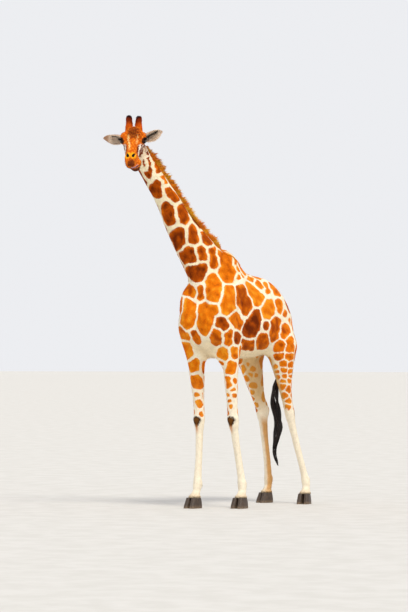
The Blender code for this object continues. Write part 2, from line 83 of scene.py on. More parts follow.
# Bones: rows of x, y, z and the body's radius there.
BONES = {
    "trunk": (
        (0, -0.30, 2.22, 0.30), (0, 0.0, 2.30, 0.42), (0, 0.45, 2.28, 0.44), (0, 0.9, 2.27, 0.42),
        (0, 1.3, 2.22, 0.26),
    ),
    "neck": (
        (0, -0.02, 2.66, 0.27), (-0.09, -0.165, 2.95, 0.20), (-0.252, -0.392, 3.367, 0.15),
        (-0.336, -0.514, 3.62, 0.125), (-0.454, -0.684, 3.933, 0.11), (-0.53, -0.80, 4.19, 0.10),
    ),
    "fore_left": (
        (0.215, -0.06, 1.95, 0.15), (0.203, -0.03, 1.80, 0.11), (0.200, 0.05, 1.03, 0.065),
        (0.236, 0.17, 0.29, 0.05), (0.244, 0.145, 0.12, 0.06),
    ),
    "fore_right": (
        (-0.225, -0.14, 1.95, 0.15), (-0.228, -0.13, 1.80, 0.11), (-0.198, -0.08, 1.03, 0.065),
        (-0.208, -0.11, 0.29, 0.05), (-0.212, -0.15, 0.12, 0.06),
    ),
    "hind_left": (
        (0.20, 1.08, 1.98, 0.18), (0.216, 1.06, 1.80, 0.15), (0.222, 1.18, 1.30, 0.085),
        (0.224, 1.205, 1.06, 0.07), (0.305, 1.41, 0.29, 0.055), (0.322, 1.385, 0.12, 0.06),
    ),
    "hind_right": (
        (-0.185, 1.04, 1.98, 0.18), (-0.198, 1.00, 1.80, 0.15), (-0.188, 1.13, 1.30, 0.085),
        (-0.178, 1.21, 1.06, 0.07), (-0.215, 1.37, 0.29, 0.055), (-0.222, 1.35, 0.12, 0.06),
    ),
    "tail": (
        (0, 1.465, 2.22, 0.045), (-0.02, 1.525, 2.05, 0.034), (-0.08, 1.53, 1.78, 0.027),
        (-0.155, 1.505, 1.52, 0.023),
    ),
}
PARTS = (*BONES, "head")  # what a point's label counts
LEVEL = np.array((math.cos(math.radians(35)), -math.sin(math.radians(35)), 0.0))  # the neck's own left

EAR_LENGTH = {"left": 0.245, "right": 0.290}
EAR_ROOT = (0.086, 0.045, -0.048)  # side, forward, up in the head's frame
EAR_LIFT = {"left": 16, "right": -4}
EAR_SIDE, EAR_BOTTOM = 0.115, 4.0  # an ear's skin lies further out and higher than this

EDGE = (-0.0035, 0.0040)  # how far inside a patch its colour starts, and how far it is full
FILL_TRIES = 24000  # how many of the skin's points are tried for the patches out of sight
UV_PATCH = 0.003  # a tuft's size on the unwrap

# Coat pieces: the parts they cover, how many tufts, and the tufts' length, width and lift.
COAT_PIECES = {
    "coat_trunk": (("trunk", "tail"), 41000, 0.016, 0.0042, 0.0026),
    "coat_neck": (("neck",), 37000, 0.014, 0.0035, 0.0022),
    "coat_legs_fore": (LIMBS[:2], 31000, 0.011, 0.0027, 0.0016),
    "coat_legs_hind": (LIMBS[2:], 35000, 0.012, 0.0029, 0.0017),
    "coat_head": (("head",), 42000, 0.0075, 0.0018, 0.0010),
}
MANE_LOCKS, MANE_HEIGHT = 11000, 0.082

# The tail's long hair: x, y, z and the tuft's half width, measured from ORIGIN.
TUFT_LINE = (
    (-0.140, 1.507, 1.60, 0.018), (-0.157, 1.504, 1.515, 0.030), (-0.175, 1.50, 1.40, 0.048),
    (-0.180, 1.50, 1.24, 0.056), (-0.158, 1.50, 1.08, 0.060), (-0.130, 1.50, 0.93, 0.060),
    (-0.160, 1.50, 0.77, 0.042), (-0.194, 1.50, 0.64, 0.030), (-0.170, 1.50, 0.53, 0.022),
    (-0.140, 1.50, 0.44, 0.006),
)
TUFT_LOCKS, TUFT_CLUMPS = 1500, 7

# ---- camera and light -------------------------------------------------------------------------------
# The camera stands front left of the giraffe.
AZIMUTH = math.radians(36)
DISTANCE, HEIGHT, SHIFT = 30, 1.7, -0.141
TILT = math.radians(1.29)
FOCAL_LENGTH, SENSOR_HEIGHT = 150, 36
BACK = np.array((math.sin(AZIMUTH), -math.cos(AZIMUTH), 0))
RIGHT = np.array((math.cos(AZIMUTH), math.sin(AZIMUTH), 0))
VIEWPOINT = ORIGIN + DISTANCE * BACK + SHIFT * RIGHT + (0, 0, HEIGHT)
WORLD_LIGHT, KEY_LIGHT = 0.88, 1.9


# ---- small tools ------------------------------------------------------------------------------------
def unit(v):
    return v / np.maximum(np.linalg.norm(v, axis=-1, keepdims=True), 1e-12)


def step(low, high, x):
    """0 below low, 1 above high, and smooth between; it falls instead where high is the smaller."""
    t = np.clip((x - low) / (high - low), 0, 1)
    return t * t * (3 - 2 * t)


def blob(x, centre, width):
    """A soft bump of height 1 at the centre."""
    return np.exp(-(((x - centre) / width) ** 2))


def smooth_rows(rows, steps):
    """Rows of numbers with steps - 1 more between each pair, on a Catmull-Rom curve through them."""
    rows = np.array(rows, float)
    ends = np.vstack([2 * rows[0] - rows[1], rows, 2 * rows[-1] - rows[-2]])
    out = []
    for i in range(len(rows) - 1):
        a, b, c, d = ends[i : i + 4]
        for t in np.arange(steps) / steps:
            curve = (2 * a - 5 * b + 4 * c - d) * t**2 + (3 * b - a - 3 * c + d) * t**3
            out.append(0.5 * (2 * b + (c - a) * t + curve))
    return np.array(out + [rows[-1]])


class Noise:
    """Smooth noise from a few dozen sine waves of mixed directions; about -1 to 1."""

    def __init__(self, size, count=24):
        self.waves = unit(RNG.normal(size=(count, 3))) * (math.tau / size) * RNG.uniform(0.6, 1.7, (count, 1))
        self.phases = RNG.uniform(0, math.tau, count)

    def __call__(self, points):
        return np.sin(points @ self.waves.T + self.phases).sum(1) / math.sqrt(len(self.phases)) * 0.8


def places_of(mesh):
    co = np.empty(len(mesh.vertices) * 3, np.float32)
    mesh.vertices.foreach_get("co", co)
    return co.reshape(-1, 3).astype(float)


def set_places(mesh, places):
    mesh.vertices.foreach_set("co", places.astype(np.float32).ravel())
    mesh.update()


def normals_of(mesh):
    n = np.empty(len(mesh.vertices) * 3, np.float32)
    mesh.vertex_normals.foreach_get("vector", n)
    return n.reshape(-1, 3).astype(float)


def edges_of(mesh):
    e = np.empty(len(mesh.edges) * 2, np.int32)
    mesh.edges.foreach_get("vertices", e)
    return e.reshape(-1, 2)


def average(values, edges, count):
    """Each point's mean over its neighbours."""
    a, b = edges.T
    near = np.maximum(np.bincount(a, minlength=count) + np.bincount(b, minlength=count), 1)
    columns = [np.bincount(a, column[b], count) + np.bincount(b, column[a], count) for column in values.T]
    return np.stack(columns, 1) / near[:, None]


def relax(places, edges, rounds, amount, out=0.0):
    """Smooths the points; `out` below 0 moves them back out after each round, so that they don't shrink."""
    moving = amount > 0
    edges = edges[moving[edges].any(1)]
    used, edges = np.unique(edges, return_inverse=True)
    edges = edges.reshape(-1, 2)
    local, amount = places[used], amount[used, None]
    for _ in range(rounds):
        for share in (0.5, out):
            if share:
                local = local + share * amount * (average(local, edges, len(local)) - local)
    places = places.copy()
    places[used] = local
    return places


def spread(values, edges, rounds):
    """Blurs values over the mesh."""
    wide = values.reshape(len(values), -1)
    for _ in range(rounds):
        wide = 0.5 * wide + 0.5 * average(wide, edges, len(wide))
    return wide.reshape(values.shape)


def linked(name, data):
    """A new object with the data, in the scene."""
    obj = bpy.data.objects.new(name, data)
    bpy.context.scene.collection.objects.link(obj)
    return obj


def set_attribute(mesh, name, values, kind="FLOAT"):
    """Gives each point of the mesh a number or a colour that its material can read."""
    attribute = mesh.attributes.new(name, kind, "POINT")
    if kind == "FLOAT":
        attribute.data.foreach_set("value", values.astype(np.float32))
    else:
        full = np.ones((len(values), 4), np.float32)
        full[:, :3] = values
        attribute.data.foreach_set("color", full.ravel())


# ---- the head's own frame ---------------------------------------------------------------------------
def middle(node):
    low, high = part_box(node)
    return np.array((low + high) / 2)


EYES = {side: middle(f"eye_{side}") for side in SIDES}
ACROSS = unit(EYES["left"] - EYES["right"])
AHEAD = np.array((ACROSS[1], -ACROSS[0], 0))
FORWARD = AHEAD * math.cos(HEAD_PITCH) - (0, 0, math.sin(HEAD_PITCH))
UPWARD = np.cross(FORWARD, ACROSS)
HEAD_AXES = np.stack((ACROSS, FORWARD, UPWARD))
POLL = (EYES["left"] + EYES["right"]) / 2 - FORWARD * EYE_FORWARD - UPWARD * EYE_UP
EYE_SIDE = np.linalg.norm(EYES["left"] - EYES["right"]) / 2


def to_head(points):
    """Side, forward and up of points in the head's frame."""
    return (points - POLL) @ HEAD_AXES.T


def from_head(points):
    """The world places of points given in the head's frame."""
    return np.asarray(points, float) @ HEAD_AXES + POLL


# ---- bones: stations, angles and hair flow ----------------------------------------------------------
LINES = {name: smooth_rows(np.array(rows) + (*ORIGIN, 0), 4) for name, rows in BONES.items()}
ANGLE_ZERO = {"trunk": (0, 0, 1.0), "tail": (0, 1.0, 0)}  # where angles round a bone start; else in front


def on_part(label, *names):
    """Whether each label is that of one of the named parts."""
    return np.isin(label, [PARTS.index(name) for name in names])


def nearest_on(line, points):
    """For each point: the nearest place on the line, its station, radius and direction, and how far off."""
    a, b = line[:-1, :3], line[1:, :3]
    span = b - a
    length = np.linalg.norm(span, axis=1)
    start = np.concatenate(([0], np.cumsum(length)[:-1]))
    best = np.full(len(points), 1e9)
    place = np.zeros((len(points), 3))
    station, radius = np.zeros(len(points)), np.ones(len(points))
    direction = np.zeros((len(points), 3))
    for i in range(len(a)):
        t = np.clip((points - a[i]) @ span[i] / length[i] ** 2, 0, 1)
        foot = a[i] + t[:, None] * span[i]
        away = np.linalg.norm(points - foot, axis=1)
        near = away < best
        best[near] = away[near]
        place[near] = foot[near]
        station[near] = (start[i] + t * length[i])[near]
        radius[near] = (line[i, 3] + t * (line[i + 1, 3] - line[i, 3]))[near]
        direction[near] = span[i] / length[i]
    return place, station, radius, direction, best


def chart(points):
    """Which bone each point belongs to, its station and angle on it, and the way its hair lies."""
    found = [nearest_on(LINES[name], points) for name in BONES]
    share = np.stack([f[4] / f[2] for f in found], 1)
    head = to_head(points)
    on_head = (head[:, 1] > -0.03) & (head[:, 1] < 0.8) & (head[:, 2] > -0.25) & (np.abs(head[:, 0]) < 0.5)
    on_head &= points[:, 2] > HEAD_BOTTOM
    label = share.argmin(1)
    label[on_head] = PARTS.index("head")
    station, angle = np.zeros(len(points)), np.zeros(len(points))
    flow = np.zeros((len(points), 3))
    for k, name in enumerate(BONES):
        mine = label == k
        place, along, _, direction, _ = (f[mine] for f in found[k])
        station[mine] = along
        out = points[mine] - place
        if name == "neck":
            zero = unit(np.cross(direction, LEVEL))
        else:
            zero = np.array(ANGLE_ZERO.get(name, (0, -1.0, 0)))
        side = unit(np.cross(direction, zero))
        zero = np.cross(side, direction)
        angle[mine] = np.arctan2((out * side).sum(1), (out * zero).sum(1))
        flow[mine] = -direction if name == "neck" else direction
        if name == "trunk":
            droop = 0.9 * np.abs(np.sin(angle[mine]))[:, None]
            flow[mine] = unit(np.array((0, 0.75, -0.1)) - droop * np.array((0, 0, 1)))
    on_face = on_part(label, "head")
    station[on_face] = head[on_face, 1]
    angle[on_face] = np.arctan2(head[on_face, 0], head[on_face, 2] + 0.05)
    flow[on_face] = -FORWARD
    return label, station, angle, flow


# ---- the skin ---------------------------------------------------------------------------------------
def lens(points, back=False):
    """Magnifies the space round the head, or undoes that."""
    centre = from_head((0, 0.30, 0))
    r = np.linspace(0, 8, 1601)
    power = 1 + (LENS_POWER - 1) * np.clip((LENS_END - r) / (LENS_END - LENS_FULL), 0, 1)
    wide = np.concatenate(([0], np.cumsum((power[1:] + power[:-1]) / 2 * np.diff(r))))
    away = points - centre
    distance = np.maximum(np.linalg.norm(away, axis=1), 1e-9)
    moved = np.interp(distance, wide, r) if back else np.interp(distance, r, wide)
    return centre + away * (moved / distance)[:, None]


def ear_shell(side):
    """A leaf-shaped cup of thin skin, rolled at the root and open forwards: the points and faces, closed."""
    sign = SIDES[side]
    long, wide = 40, 29
    u = np.linspace(0, 1, long)[:, None]
    v = np.linspace(-1, 1, wide)[None, :]
    half = 0.004 + 0.094 * np.sin(math.pi * (0.15 + 0.845 * u)) ** 0.80 * (1 - 0.12 * u)
    curl = np.radians(125 - 85 * u)
    radius = half / curl
    turn = v * curl
    x = EAR_LENGTH[side] * u + 0 * v
    fold = 0.004 * np.sin(3.1 * math.pi * v) * step(0.9, 0.2, u)
    y = radius * (0.7 - np.cos(turn)) + fold - 0.012 * step(0.6, 1, u)
    z = radius * np.sin(turn)
    thick = 0.0042 * (1 - 0.55 * np.abs(v) ** 3) * (1 - 0.5 * u)
    outward = np.stack((0 * turn, -np.cos(turn), np.sin(turn)), -1)
    inner = np.stack((x, y, z), -1) - outward * thick[..., None]
    outer = np.stack((x, y, z), -1) + outward * thick[..., None]
    lift, back = math.radians(EAR_LIFT[side]), math.radians(-6)
    spin_y = np.array(((math.cos(lift), 0, -math.sin(lift)), (0, 1, 0), (math.sin(lift), 0, math.cos(lift))))
    spin_z = np.array(((math.cos(back), -math.sin(back), 0), (math.sin(back), math.cos(back), 0), (0, 0, 1)))
    points = np.concatenate((inner.reshape(-1, 3), outer.reshape(-1, 3)))
    points = points @ (spin_y @ spin_z).T + EAR_ROOT
    points[:, 0] *= sign
    count = long * wide
    faces = []
    for i in range(long - 1):
        for k in range(wide - 1):
            q = (i * wide + k, i * wide + k + 1, (i + 1) * wide + k + 1, (i + 1) * wide + k)
            faces.append(q)
            faces.append(tuple(count + n for n in reversed(q)))
    rim = [*range(wide), *(i * wide + wide - 1 for i in range(1, long))]
    rim += [(long - 1) * wide + k for k in range(wide - 2, -1, -1)]
    rim += [i * wide for i in range(long - 2, 0, -1)]
    for a, b in zip(rim, rim[1:] + rim[:1]):
        faces.append((b, a, count + a, count + b))
    return from_head(points), faces


def flesh_solid():
    """All the CAD flesh in one mesh, each piece grown a little so that the thin cuts close."""
    whole = bmesh.new()
    for name in (*FLESH, "eye_left", "eye_right"):
        piece = bmesh.new()
        piece.from_mesh(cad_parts[name].data)
        bmesh.ops.remove_doubles(piece, verts=piece.verts, dist=1e-5)
        bmesh.ops.recalc_face_normals(piece, faces=piece.faces)
        piece.normal_update()
        for vertex in piece.verts:
            vertex.co += vertex.normal * 0.0009
        mesh = bpy.data.meshes.new(name)
        piece.to_mesh(mesh)
        piece.free()
        whole.from_mesh(mesh)
        bpy.data.meshes.remove(mesh)
    for sign in SIDES.values():
        root = bmesh.new()
        bmesh.ops.create_uvsphere(root, u_segments=16, v_segments=10, radius=1)
        for vertex in root.verts:
            vertex.co = from_head(np.array(vertex.co) * (0.042, 0.024, 0.032) + (0.090 * sign, 0.026, -0.048))
        bmesh.ops.recalc_face_normals(root, faces=root.faces)
        mesh = bpy.data.meshes.new("root")
        root.to_mesh(mesh)
        root.free()
        whole.from_mesh(mesh)
    mesh = bpy.data.meshes.new("flesh")
    whole.to_mesh(mesh)
    whole.free()
    return mesh


def with_ears(mesh):
    """Adds the two ears to the skin; their roots lie inside the head."""
    bm = bmesh.new()
    bm.from_mesh(mesh)
    for side in SIDES:
        points, faces = ear_shell(side)
        verts = [bm.verts.new(p) for p in points]
        made = [bm.faces.new([verts[i] for i in f]) for f in faces]
        bmesh.ops.recalc_face_normals(bm, faces=made)
    bm.to_mesh(mesh)
    bm.free()


def remeshed(mesh, grain):
    """The mesh made anew as one closed surface with faces of about the grain's size."""
    obj = linked("remesh", mesh)
    modifier = obj.modifiers.new("remesh", "REMESH")
    modifier.mode = "VOXEL"
    modifier.voxel_size = grain
    made = bpy.data.meshes.new_from_object(obj.evaluated_get(bpy.context.evaluated_depsgraph_get()))
    bpy.data.objects.remove(obj)
    return made


def refined(mesh, chosen):
    """Splits every edge whose two ends are chosen."""
    bm = bmesh.new()
    bm.from_mesh(mesh)
    edges = [e for e in bm.edges if chosen[e.verts[0].index] and chosen[e.verts[1].index]]
    bmesh.ops.subdivide_edges(bm, edges=edges, cuts=1, use_grid_fill=True, smooth=0)
    bm.to_mesh(mesh)
    bm.free()
    return mesh


def near_features(points, reach):
    """The points close to an eye, a nostril or the lips, where the skin needs its finest grain."""
    head = to_head(points)
    head[:, 0] = np.abs(head[:, 0])
    eye = np.linalg.norm(head - (EYE_SIDE, EYE_FORWARD, EYE_UP), axis=1) < 0.040 * reach
    nostril = np.linalg.norm(head - NOSTRIL, axis=1) < 0.040 * reach
    lips = (head[:, 1] > 0.54) & (np.abs(head[:, 2] + 0.118) < 0.028 * reach) & (head[:, 1] < 0.9)
    return eye | nostril | lips


def skin_mesh():
    """The skin as one closed mesh: remeshed, its facets smoothed away, inset by the coat and sculpted."""
    mesh = flesh_solid()
    set_places(mesh, lens(places_of(mesh)))
    skin = remeshed(mesh, GRAIN)
    places = lens(places_of(skin), back=True)
    edges = edges_of(skin)
    label, _, _, _ = chart(places)
    head = to_head(places)
    on_head = on_part(label, "head") * 1.0
    on_limb = on_part(label, *LIMBS, "tail") * 1.0
    body = (1 - on_head) * (1 - on_limb)
    buttock = step(1.10, 1.20, places[:, 1]) * step(2.25, 2.15, places[:, 2]) * step(1.55, 1.65, places[:, 2])
    under_poll = step(0.5, 0.4, np.linalg.norm(head - (0, 0, -0.1), axis=1))
    nape = on_head * step(0.12, 0.04, head[:, 1]) + body * under_poll
    places = relax(places, edges, 34, body, out=-0.25)
    places = relax(places, edges, 60, buttock * (np.abs(places[:, 0] - 0.13) > 0.1), out=-0.3)
    places = relax(places, edges, 10, on_limb + body, out=-0.5)
    places = relax(places, edges, 50, np.clip(nape, 0, 1), out=-0.42)
    places = relax(places, edges, 34, on_head, out=-0.36)
    set_places(skin, places)
    coated = spread(body + 0.7 * on_limb + 0.35 * on_head, edges, 16)
    inset = COAT_DEPTH * coated * step(0.125, 0.17, places[:, 2])
    places = places - normals_of(skin) * inset[:, None]
    set_places(skin, places)
    for reach in (1.25, 1.0):
        skin = refined(skin, near_features(places_of(skin), reach))
        places = places_of(skin)
        fine = near_features(places, reach).astype(float)
        set_places(skin, relax(places, edges_of(skin), 4, fine, out=-0.4))
    sculpt(skin)
    return skin


# Forms of the head: |side|, forward, up, their three widths, and how far the skin moves out.
HEAD_FORMS = (
    (0.108, 0.195, 0.056, 0.034, 0.050, 0.018, 0.0050),  # brow
    (0.106, 0.250, -0.034, 0.024, 0.045, 0.012, 0.0050),  # lower rim of the orbit
    (0.100, 0.130, 0.000, 0.026, 0.036, 0.034, -0.0090),  # temple
    (0.088, 0.310, -0.046, 0.022, 0.075, 0.013, 0.0060),  # facial crest
    (0.064, 0.410, -0.012, 0.022, 0.085, 0.024, -0.0085),  # hollow beside the nose
    (0.000, 0.390, 0.045, 0.026, 0.120, 0.030, 0.0030),  # bridge of the nose
    (0.088, 0.150, -0.105, 0.034, 0.055, 0.050, 0.0060),  # cheek muscle
    (0.070, 0.300, -0.125, 0.034, 0.110, 0.018, -0.0050),  # hollow above the jaw
    (0.000, 0.180, 0.125, 0.036, 0.045, 0.040, 0.0070),  # knob of the forehead
    (0.045, 0.060, 0.120, 0.020, 0.050, 0.040, -0.0030),  # behind the horns
    (0.050, 0.635, -0.070, 0.024, 0.036, 0.030, 0.0030),  # upper lip
    (0.000, 0.720, -0.090, 0.007, 0.050, 0.030, -0.0025),  # groove of the upper lip
    (0.000, 0.670, -0.014, 0.075, 0.055, 0.040, -0.0110),  # the nose slopes down to the lip
    (0.075, 0.680, -0.095, 0.030, 0.060, 0.035, -0.0100),  # the upper lip narrows downwards
    (0.033, 0.575, 0.006, 0.022, 0.030, 0.022, 0.0070),  # wing of the nostril
    (0.054, 0.614, -0.026, 0.012, 0.030, 0.020, 0.0040),
    (0.000, 0.600, 0.010, 0.010, 0.040, 0.030, -0.0030),
)


def nostril_at(pair, length, width):
    """How far along and across a nostril points lie, each 1 at its rim, and whether they are near it.

    Seen from the front a nostril is a slanting tear-drop, wider below.
    """
    away = pair - NOSTRIL
    rise = away @ unit(np.array((0, -0.5, 0.866)))
    lean = math.radians(24)
    long = rise * math.cos(lean) + away[:, 0] * math.sin(lean)
    cross = away[:, 0] * math.cos(lean) - rise * math.sin(lean)
    half = width - 0.2 * np.clip(long, -0.02, 0.02)
    return long / length, cross / half, np.linalg.norm(away, axis=1) < 0.050


def sculpt_head(places, normals):
    """The head's forms, nostrils, lips and finest wrinkles."""
    head = to_head(places)
    # the lower jaw is pushed to the left, as in chewing
    chew = step(-0.05, -0.12, head[:, 2]) * step(0.40, 0.53, head[:, 1]) * step(-0.05, 0.05, head[:, 0])
    places = places + ACROSS * (0.012 * chew)[:, None]
    head = to_head(places)
    pair = head.copy()
    pair[:, 0] = np.abs(pair[:, 0])
    out = np.zeros(len(places))
    for row in HEAD_FORMS:
        out += row[6] * np.exp(-(((pair - row[:3]) / row[3:6]) ** 2).sum(1))
    along, over, close = nostril_at(pair, 0.0225, 0.0135)
    out -= 0.016 * np.exp(-(along**4) - over**4) * close
    # lips: a crease that runs back to the corner of the mouth
    off_line = head[:, 2] + 0.116 + 0.1225 * np.clip(0.66 - head[:, 1], -0.05, 0.14)
    out -= 0.0055 * blob(off_line, 0, 0.0045) * step(0.535, 0.565, head[:, 1])
    for beside in (0.013, -0.012):
        out += 0.0030 * blob(off_line, beside, 0.007) * step(0.56, 0.60, head[:, 1])
    muzzle = np.exp(-(((pair - (0.06, 0.55, -0.08)) / (0.03, 0.05, 0.04)) ** 2).sum(1))
    out += 0.0006 * np.sin(head[:, 2] * 900 + 40 * head[:, 1]) * muzzle
    return places + normals * out[:, None]


def eye_axes(side):
    """The eye's own frame: along its slit, up the lid, and out of the head."""
    sign = SIDES[side]
    out = unit(np.array((0.84 * sign, 0.50, 0.20)) @ HEAD_AXES)
    along = unit(np.array((-0.5 * sign, 0.84, -0.16)) @ HEAD_AXES)
    along = unit(along - out * (along @ out))
    up = np.cross(out, along) * sign
    if up @ UPWARD < 0:
        up = -up
    return along, up, out


def lid_gap(side, points):
    """How far points lie outside the slit between the lids, seen along the eye's axis; below 0 inside it."""
    along, up, out = eye_axes(side)
    away = points - EYES[side]
    x, y, z = away @ along, away @ up, away @ out
    high = LID_HIGH * np.sqrt(np.clip(1 - (x / LID_LONG) ** 2, 0, 1)) * np.where(y > 0, 1.0, 0.78)
    beyond = np.maximum(np.abs(x) - LID_LONG, 0)
    inside = np.maximum(high - np.abs(y), 0) * (beyond == 0)
    return np.hypot(np.maximum(np.abs(y) - high, 0), beyond) - inside, z


def sculpt_lids(places):
    """Wraps the skin round each eyeball as two creased lids, and drops it behind the ball in the slit."""
    for side in SIDES:
        away = places - EYES[side]
        distance = np.linalg.norm(away, axis=1)
        close = distance < 0.075
        gap, z = lid_gap(side, places)
        y = away @ eye_axes(side)[1]
        lid = EYE_RADIUS + LID_THICK + 0.0012 * np.exp(-(((gap - 0.002) / 0.002) ** 2))
        lid -= 0.0024 * np.exp(-(((gap - 0.0085) / 0.0022) ** 2)) * (y > 0)
        lid -= 0.0015 * np.exp(-(((gap - 0.0075) / 0.0018) ** 2)) * (y < 0)
        hold = step(0.022, 0.005, gap) * (z > -0.004)
        wrapped = distance + (np.where(z > 0, lid, distance) - distance) * hold
        wrapped = np.maximum(wrapped, np.where((z > 0) & (distance < 0.045), lid, 0))
        behind = EYE_RADIUS - 0.005 * step(0, -0.0012, gap) + LID_THICK * step(-0.0012, 0, gap)
        wrapped = np.where((gap < 0) & (z > 0), behind, wrapped)
        moved = EYES[side] + away * (wrapped / np.maximum(distance, 1e-9))[:, None]
        places = np.where(close[:, None], moved, places)
    return places


def sculpt_body(places, normals, label, station, angle, edges):
    """Ribs, muscles, tendons, joints and folds, as small moves along the skin's normals."""
    out = np.zeros(len(places))
    x, y, z = places.T
    mirror = np.abs(angle)
    member = spread((label[:, None] == np.arange(len(PARTS))) * 1.0, edges, 12)
    member = dict(zip(PARTS, member.T))
    trunk = member["trunk"]
    side = step(0.5, 1.0, mirror) * step(2.6, 2.0, mirror)
    uneven = 0.6 + 0.6 * Noise(0.5)(places)
    ribs = np.sin(math.tau * (y + 0.25 * (2.3 - z)) / 0.082)
    out += trunk * side * 0.0011 * ribs * uneven * step(0.0, 0.25, y) * step(0.85, 0.6, y)
    # the shoulder blade's ridge and the hollow before it, the elbow's fold and the fold of the flank
    blade = (y + 0.42) - 0.55 * (z - 2.20)
    high = step(2.15, 2.3, z) * step(2.85, 2.7, z)
    out += trunk * high * (0.005 * blob(blade, 0.04, 0.05) - 0.006 * blob(blade, -0.06, 0.04))
    behind = (y - 0.07) + 0.16 * (z - 2.0)
    out -= trunk * 0.016 * blob(behind, 0, 0.034) * step(2.60, 2.35, z) * side
    out += trunk * 0.010 * blob(behind, -0.085, 0.055) * step(2.60, 2.35, z) * side
    flank = (y - 0.80) - 0.75 * (z - 1.85)
    out -= trunk * 0.009 * blob(flank, 0, 0.05) * step(2.35, 2.1, z) * side
    out += trunk * 0.006 * blob(flank, 0.10, 0.05) * step(2.35, 2.1, z) * side
    # loose skin in front of the shoulder
    front = step(-0.28, -0.38, y) * trunk
    folds = np.sin(math.tau * (z + 0.9 * np.abs(x - ORIGIN[0]) + 0.05 * Noise(0.35)(places)) / 0.14)
    out += front * 0.0016 * folds * uneven * step(2.0, 2.15, z) * step(2.75, 2.5, z)
    # the neck: its vertebrae, the groove of the throat and the muscle along the nape
    neck = member["neck"] ** 2
    bumps = 0.5 + 0.5 * np.cos(math.tau * (station - 0.10) / 0.27)
    out += neck * 0.0045 * bumps * blob(mirror, 1.75, 0.35)
    out -= neck * 0.0050 * blob(mirror, 2.35, 0.16)
    out -= neck * 0.0030 * blob(mirror, 1.10, 0.20)
    out += neck * 0.0040 * blob(mirror, 2.80, 0.30)
    for name in LIMBS:
        leg = member[name]
        cannon = step(0.36, 0.46, z) * step(0.98, 0.90, z)
        out -= leg * cannon * 0.0036 * blob(mirror, 1.95, 0.28)
        out += leg * cannon * 0.0022 * blob(mirror, 3.14, 0.35)
        out += leg * 0.0045 * blob(z, 0.30, 0.030) * step(1.6, 2.4, mirror)  # fetlock
        out -= leg * 0.0040 * blob(z, 0.345, 0.018) * step(1.6, 2.4, mirror)
        out -= leg * 0.0022 * blob(z, 0.215, 0.012)  # crease of the pastern
        out += leg * 0.0035 * blob(z, 0.143, 0.010)  # coronet
        if "fore" in name:
            out += leg * 0.0045 * blob(z, 1.045, 0.030) * step(1.5, 0.6, mirror)
            out -= leg * 0.0030 * blob(z, 0.995, 0.014) * step(1.3, 0.5, mirror)
            out += leg * 0.0040 * blob(z, 1.06, 0.035) * blob(mirror, 1.57, 0.5)
            out += leg * 0.0040 * blob(z, 1.09, 0.022) * step(2.2, 2.9, mirror)
            out -= leg * 0.0040 * step(1.15, 1.3, z) * step(1.75, 1.5, z) * blob(mirror, 1.1, 0.22)
        else:
            out += leg * 0.0080 * blob(z, 1.13, 0.035) * step(2.5, 3.0, mirror)
            out -= leg * 0.0085 * step(1.13, 1.22, z) * step(1.55, 1.35, z) * blob(mirror, 2.45, 0.28)
            out += leg * 0.0030 * step(1.13, 1.22, z) * step(1.55, 1.35, z) * blob(mirror, 3.14, 0.25)
            out -= leg * 0.0030 * blob(z, 1.00, 0.016) * step(1.2, 0.5, mirror)
            out += leg * 0.0040 * blob(z, 1.04, 0.028) * blob(mirror, 1.45, 0.4)
    out += (1 - member["head"]) * 0.0012 * Noise(0.11)(places)
    return places + normals * out[:, None]


def sculpt(skin):
    """Shapes the body, the head and the lids, and adds the ears."""
    places, normals = places_of(skin), normals_of(skin)
    label, station, angle, _ = chart(places)
    places = sculpt_body(places, normals, label, station, angle, edges_of(skin))
    places = sculpt_lids(sculpt_head(places, normals))
    places[:, 2] = np.maximum(places[:, 2], SKIN_BOTTOM)
    set_places(skin, places)
    with_ears(skin)


# ---- markings ---------------------------------------------------------------------------------------
def rgb(*values):
    """A colour given as 0 to 255, in linear light."""
    share = np.array(values, float) / 255
    return np.where(share <= 0.04045, share / 12.92, ((share + 0.055) / 1.055) ** 2.4)


# Patches listed on the side that faces front left, where the markings are best seen. Each has a shade,
# from 0, light orange, to 1, liver brown, and one or more discs that it covers: how far to the right of the
# forelegs, how high, and how large, in metres, as they lie for someone standing at VIEWPOINT.
THROAT_PATCHES = (
    (0.95, (-0.84, 4.08, 0.009), (-0.835, 4.03, 0.010)),
    (0.90, (-0.79, 4.12, 0.027), (-0.782, 4.09, 0.028), (-0.775, 4.06, 0.031), (-0.78, 4.00, 0.032),
     (-0.81, 3.93, 0.042)),
    (0.85, (-0.68, 3.82, 0.040), (-0.77, 3.75, 0.046), (-0.69, 3.74, 0.050), (-0.68, 3.68, 0.022)),
    (0.80, (-0.572, 3.55, 0.046), (-0.555, 3.47, 0.060), (-0.545, 3.40, 0.058)),
    (0.85, (-0.73, 3.59, 0.016), (-0.69, 3.50, 0.016)),
    (0.85, (-0.42, 3.24, 0.050), (-0.50, 3.18, 0.044), (-0.43, 3.16, 0.060), (-0.47, 3.08, 0.050)),
    (0.85, (-0.31, 3.01, 0.056), (-0.38, 2.94, 0.064), (-0.29, 2.94, 0.052)),
    (0.85, (-0.16, 2.83, 0.040), (-0.24, 2.79, 0.062), (-0.33, 2.79, 0.034), (-0.21, 2.73, 0.052)),
    (0.60, (-0.37, 2.72, 0.012), (-0.36, 2.66, 0.018)),
)
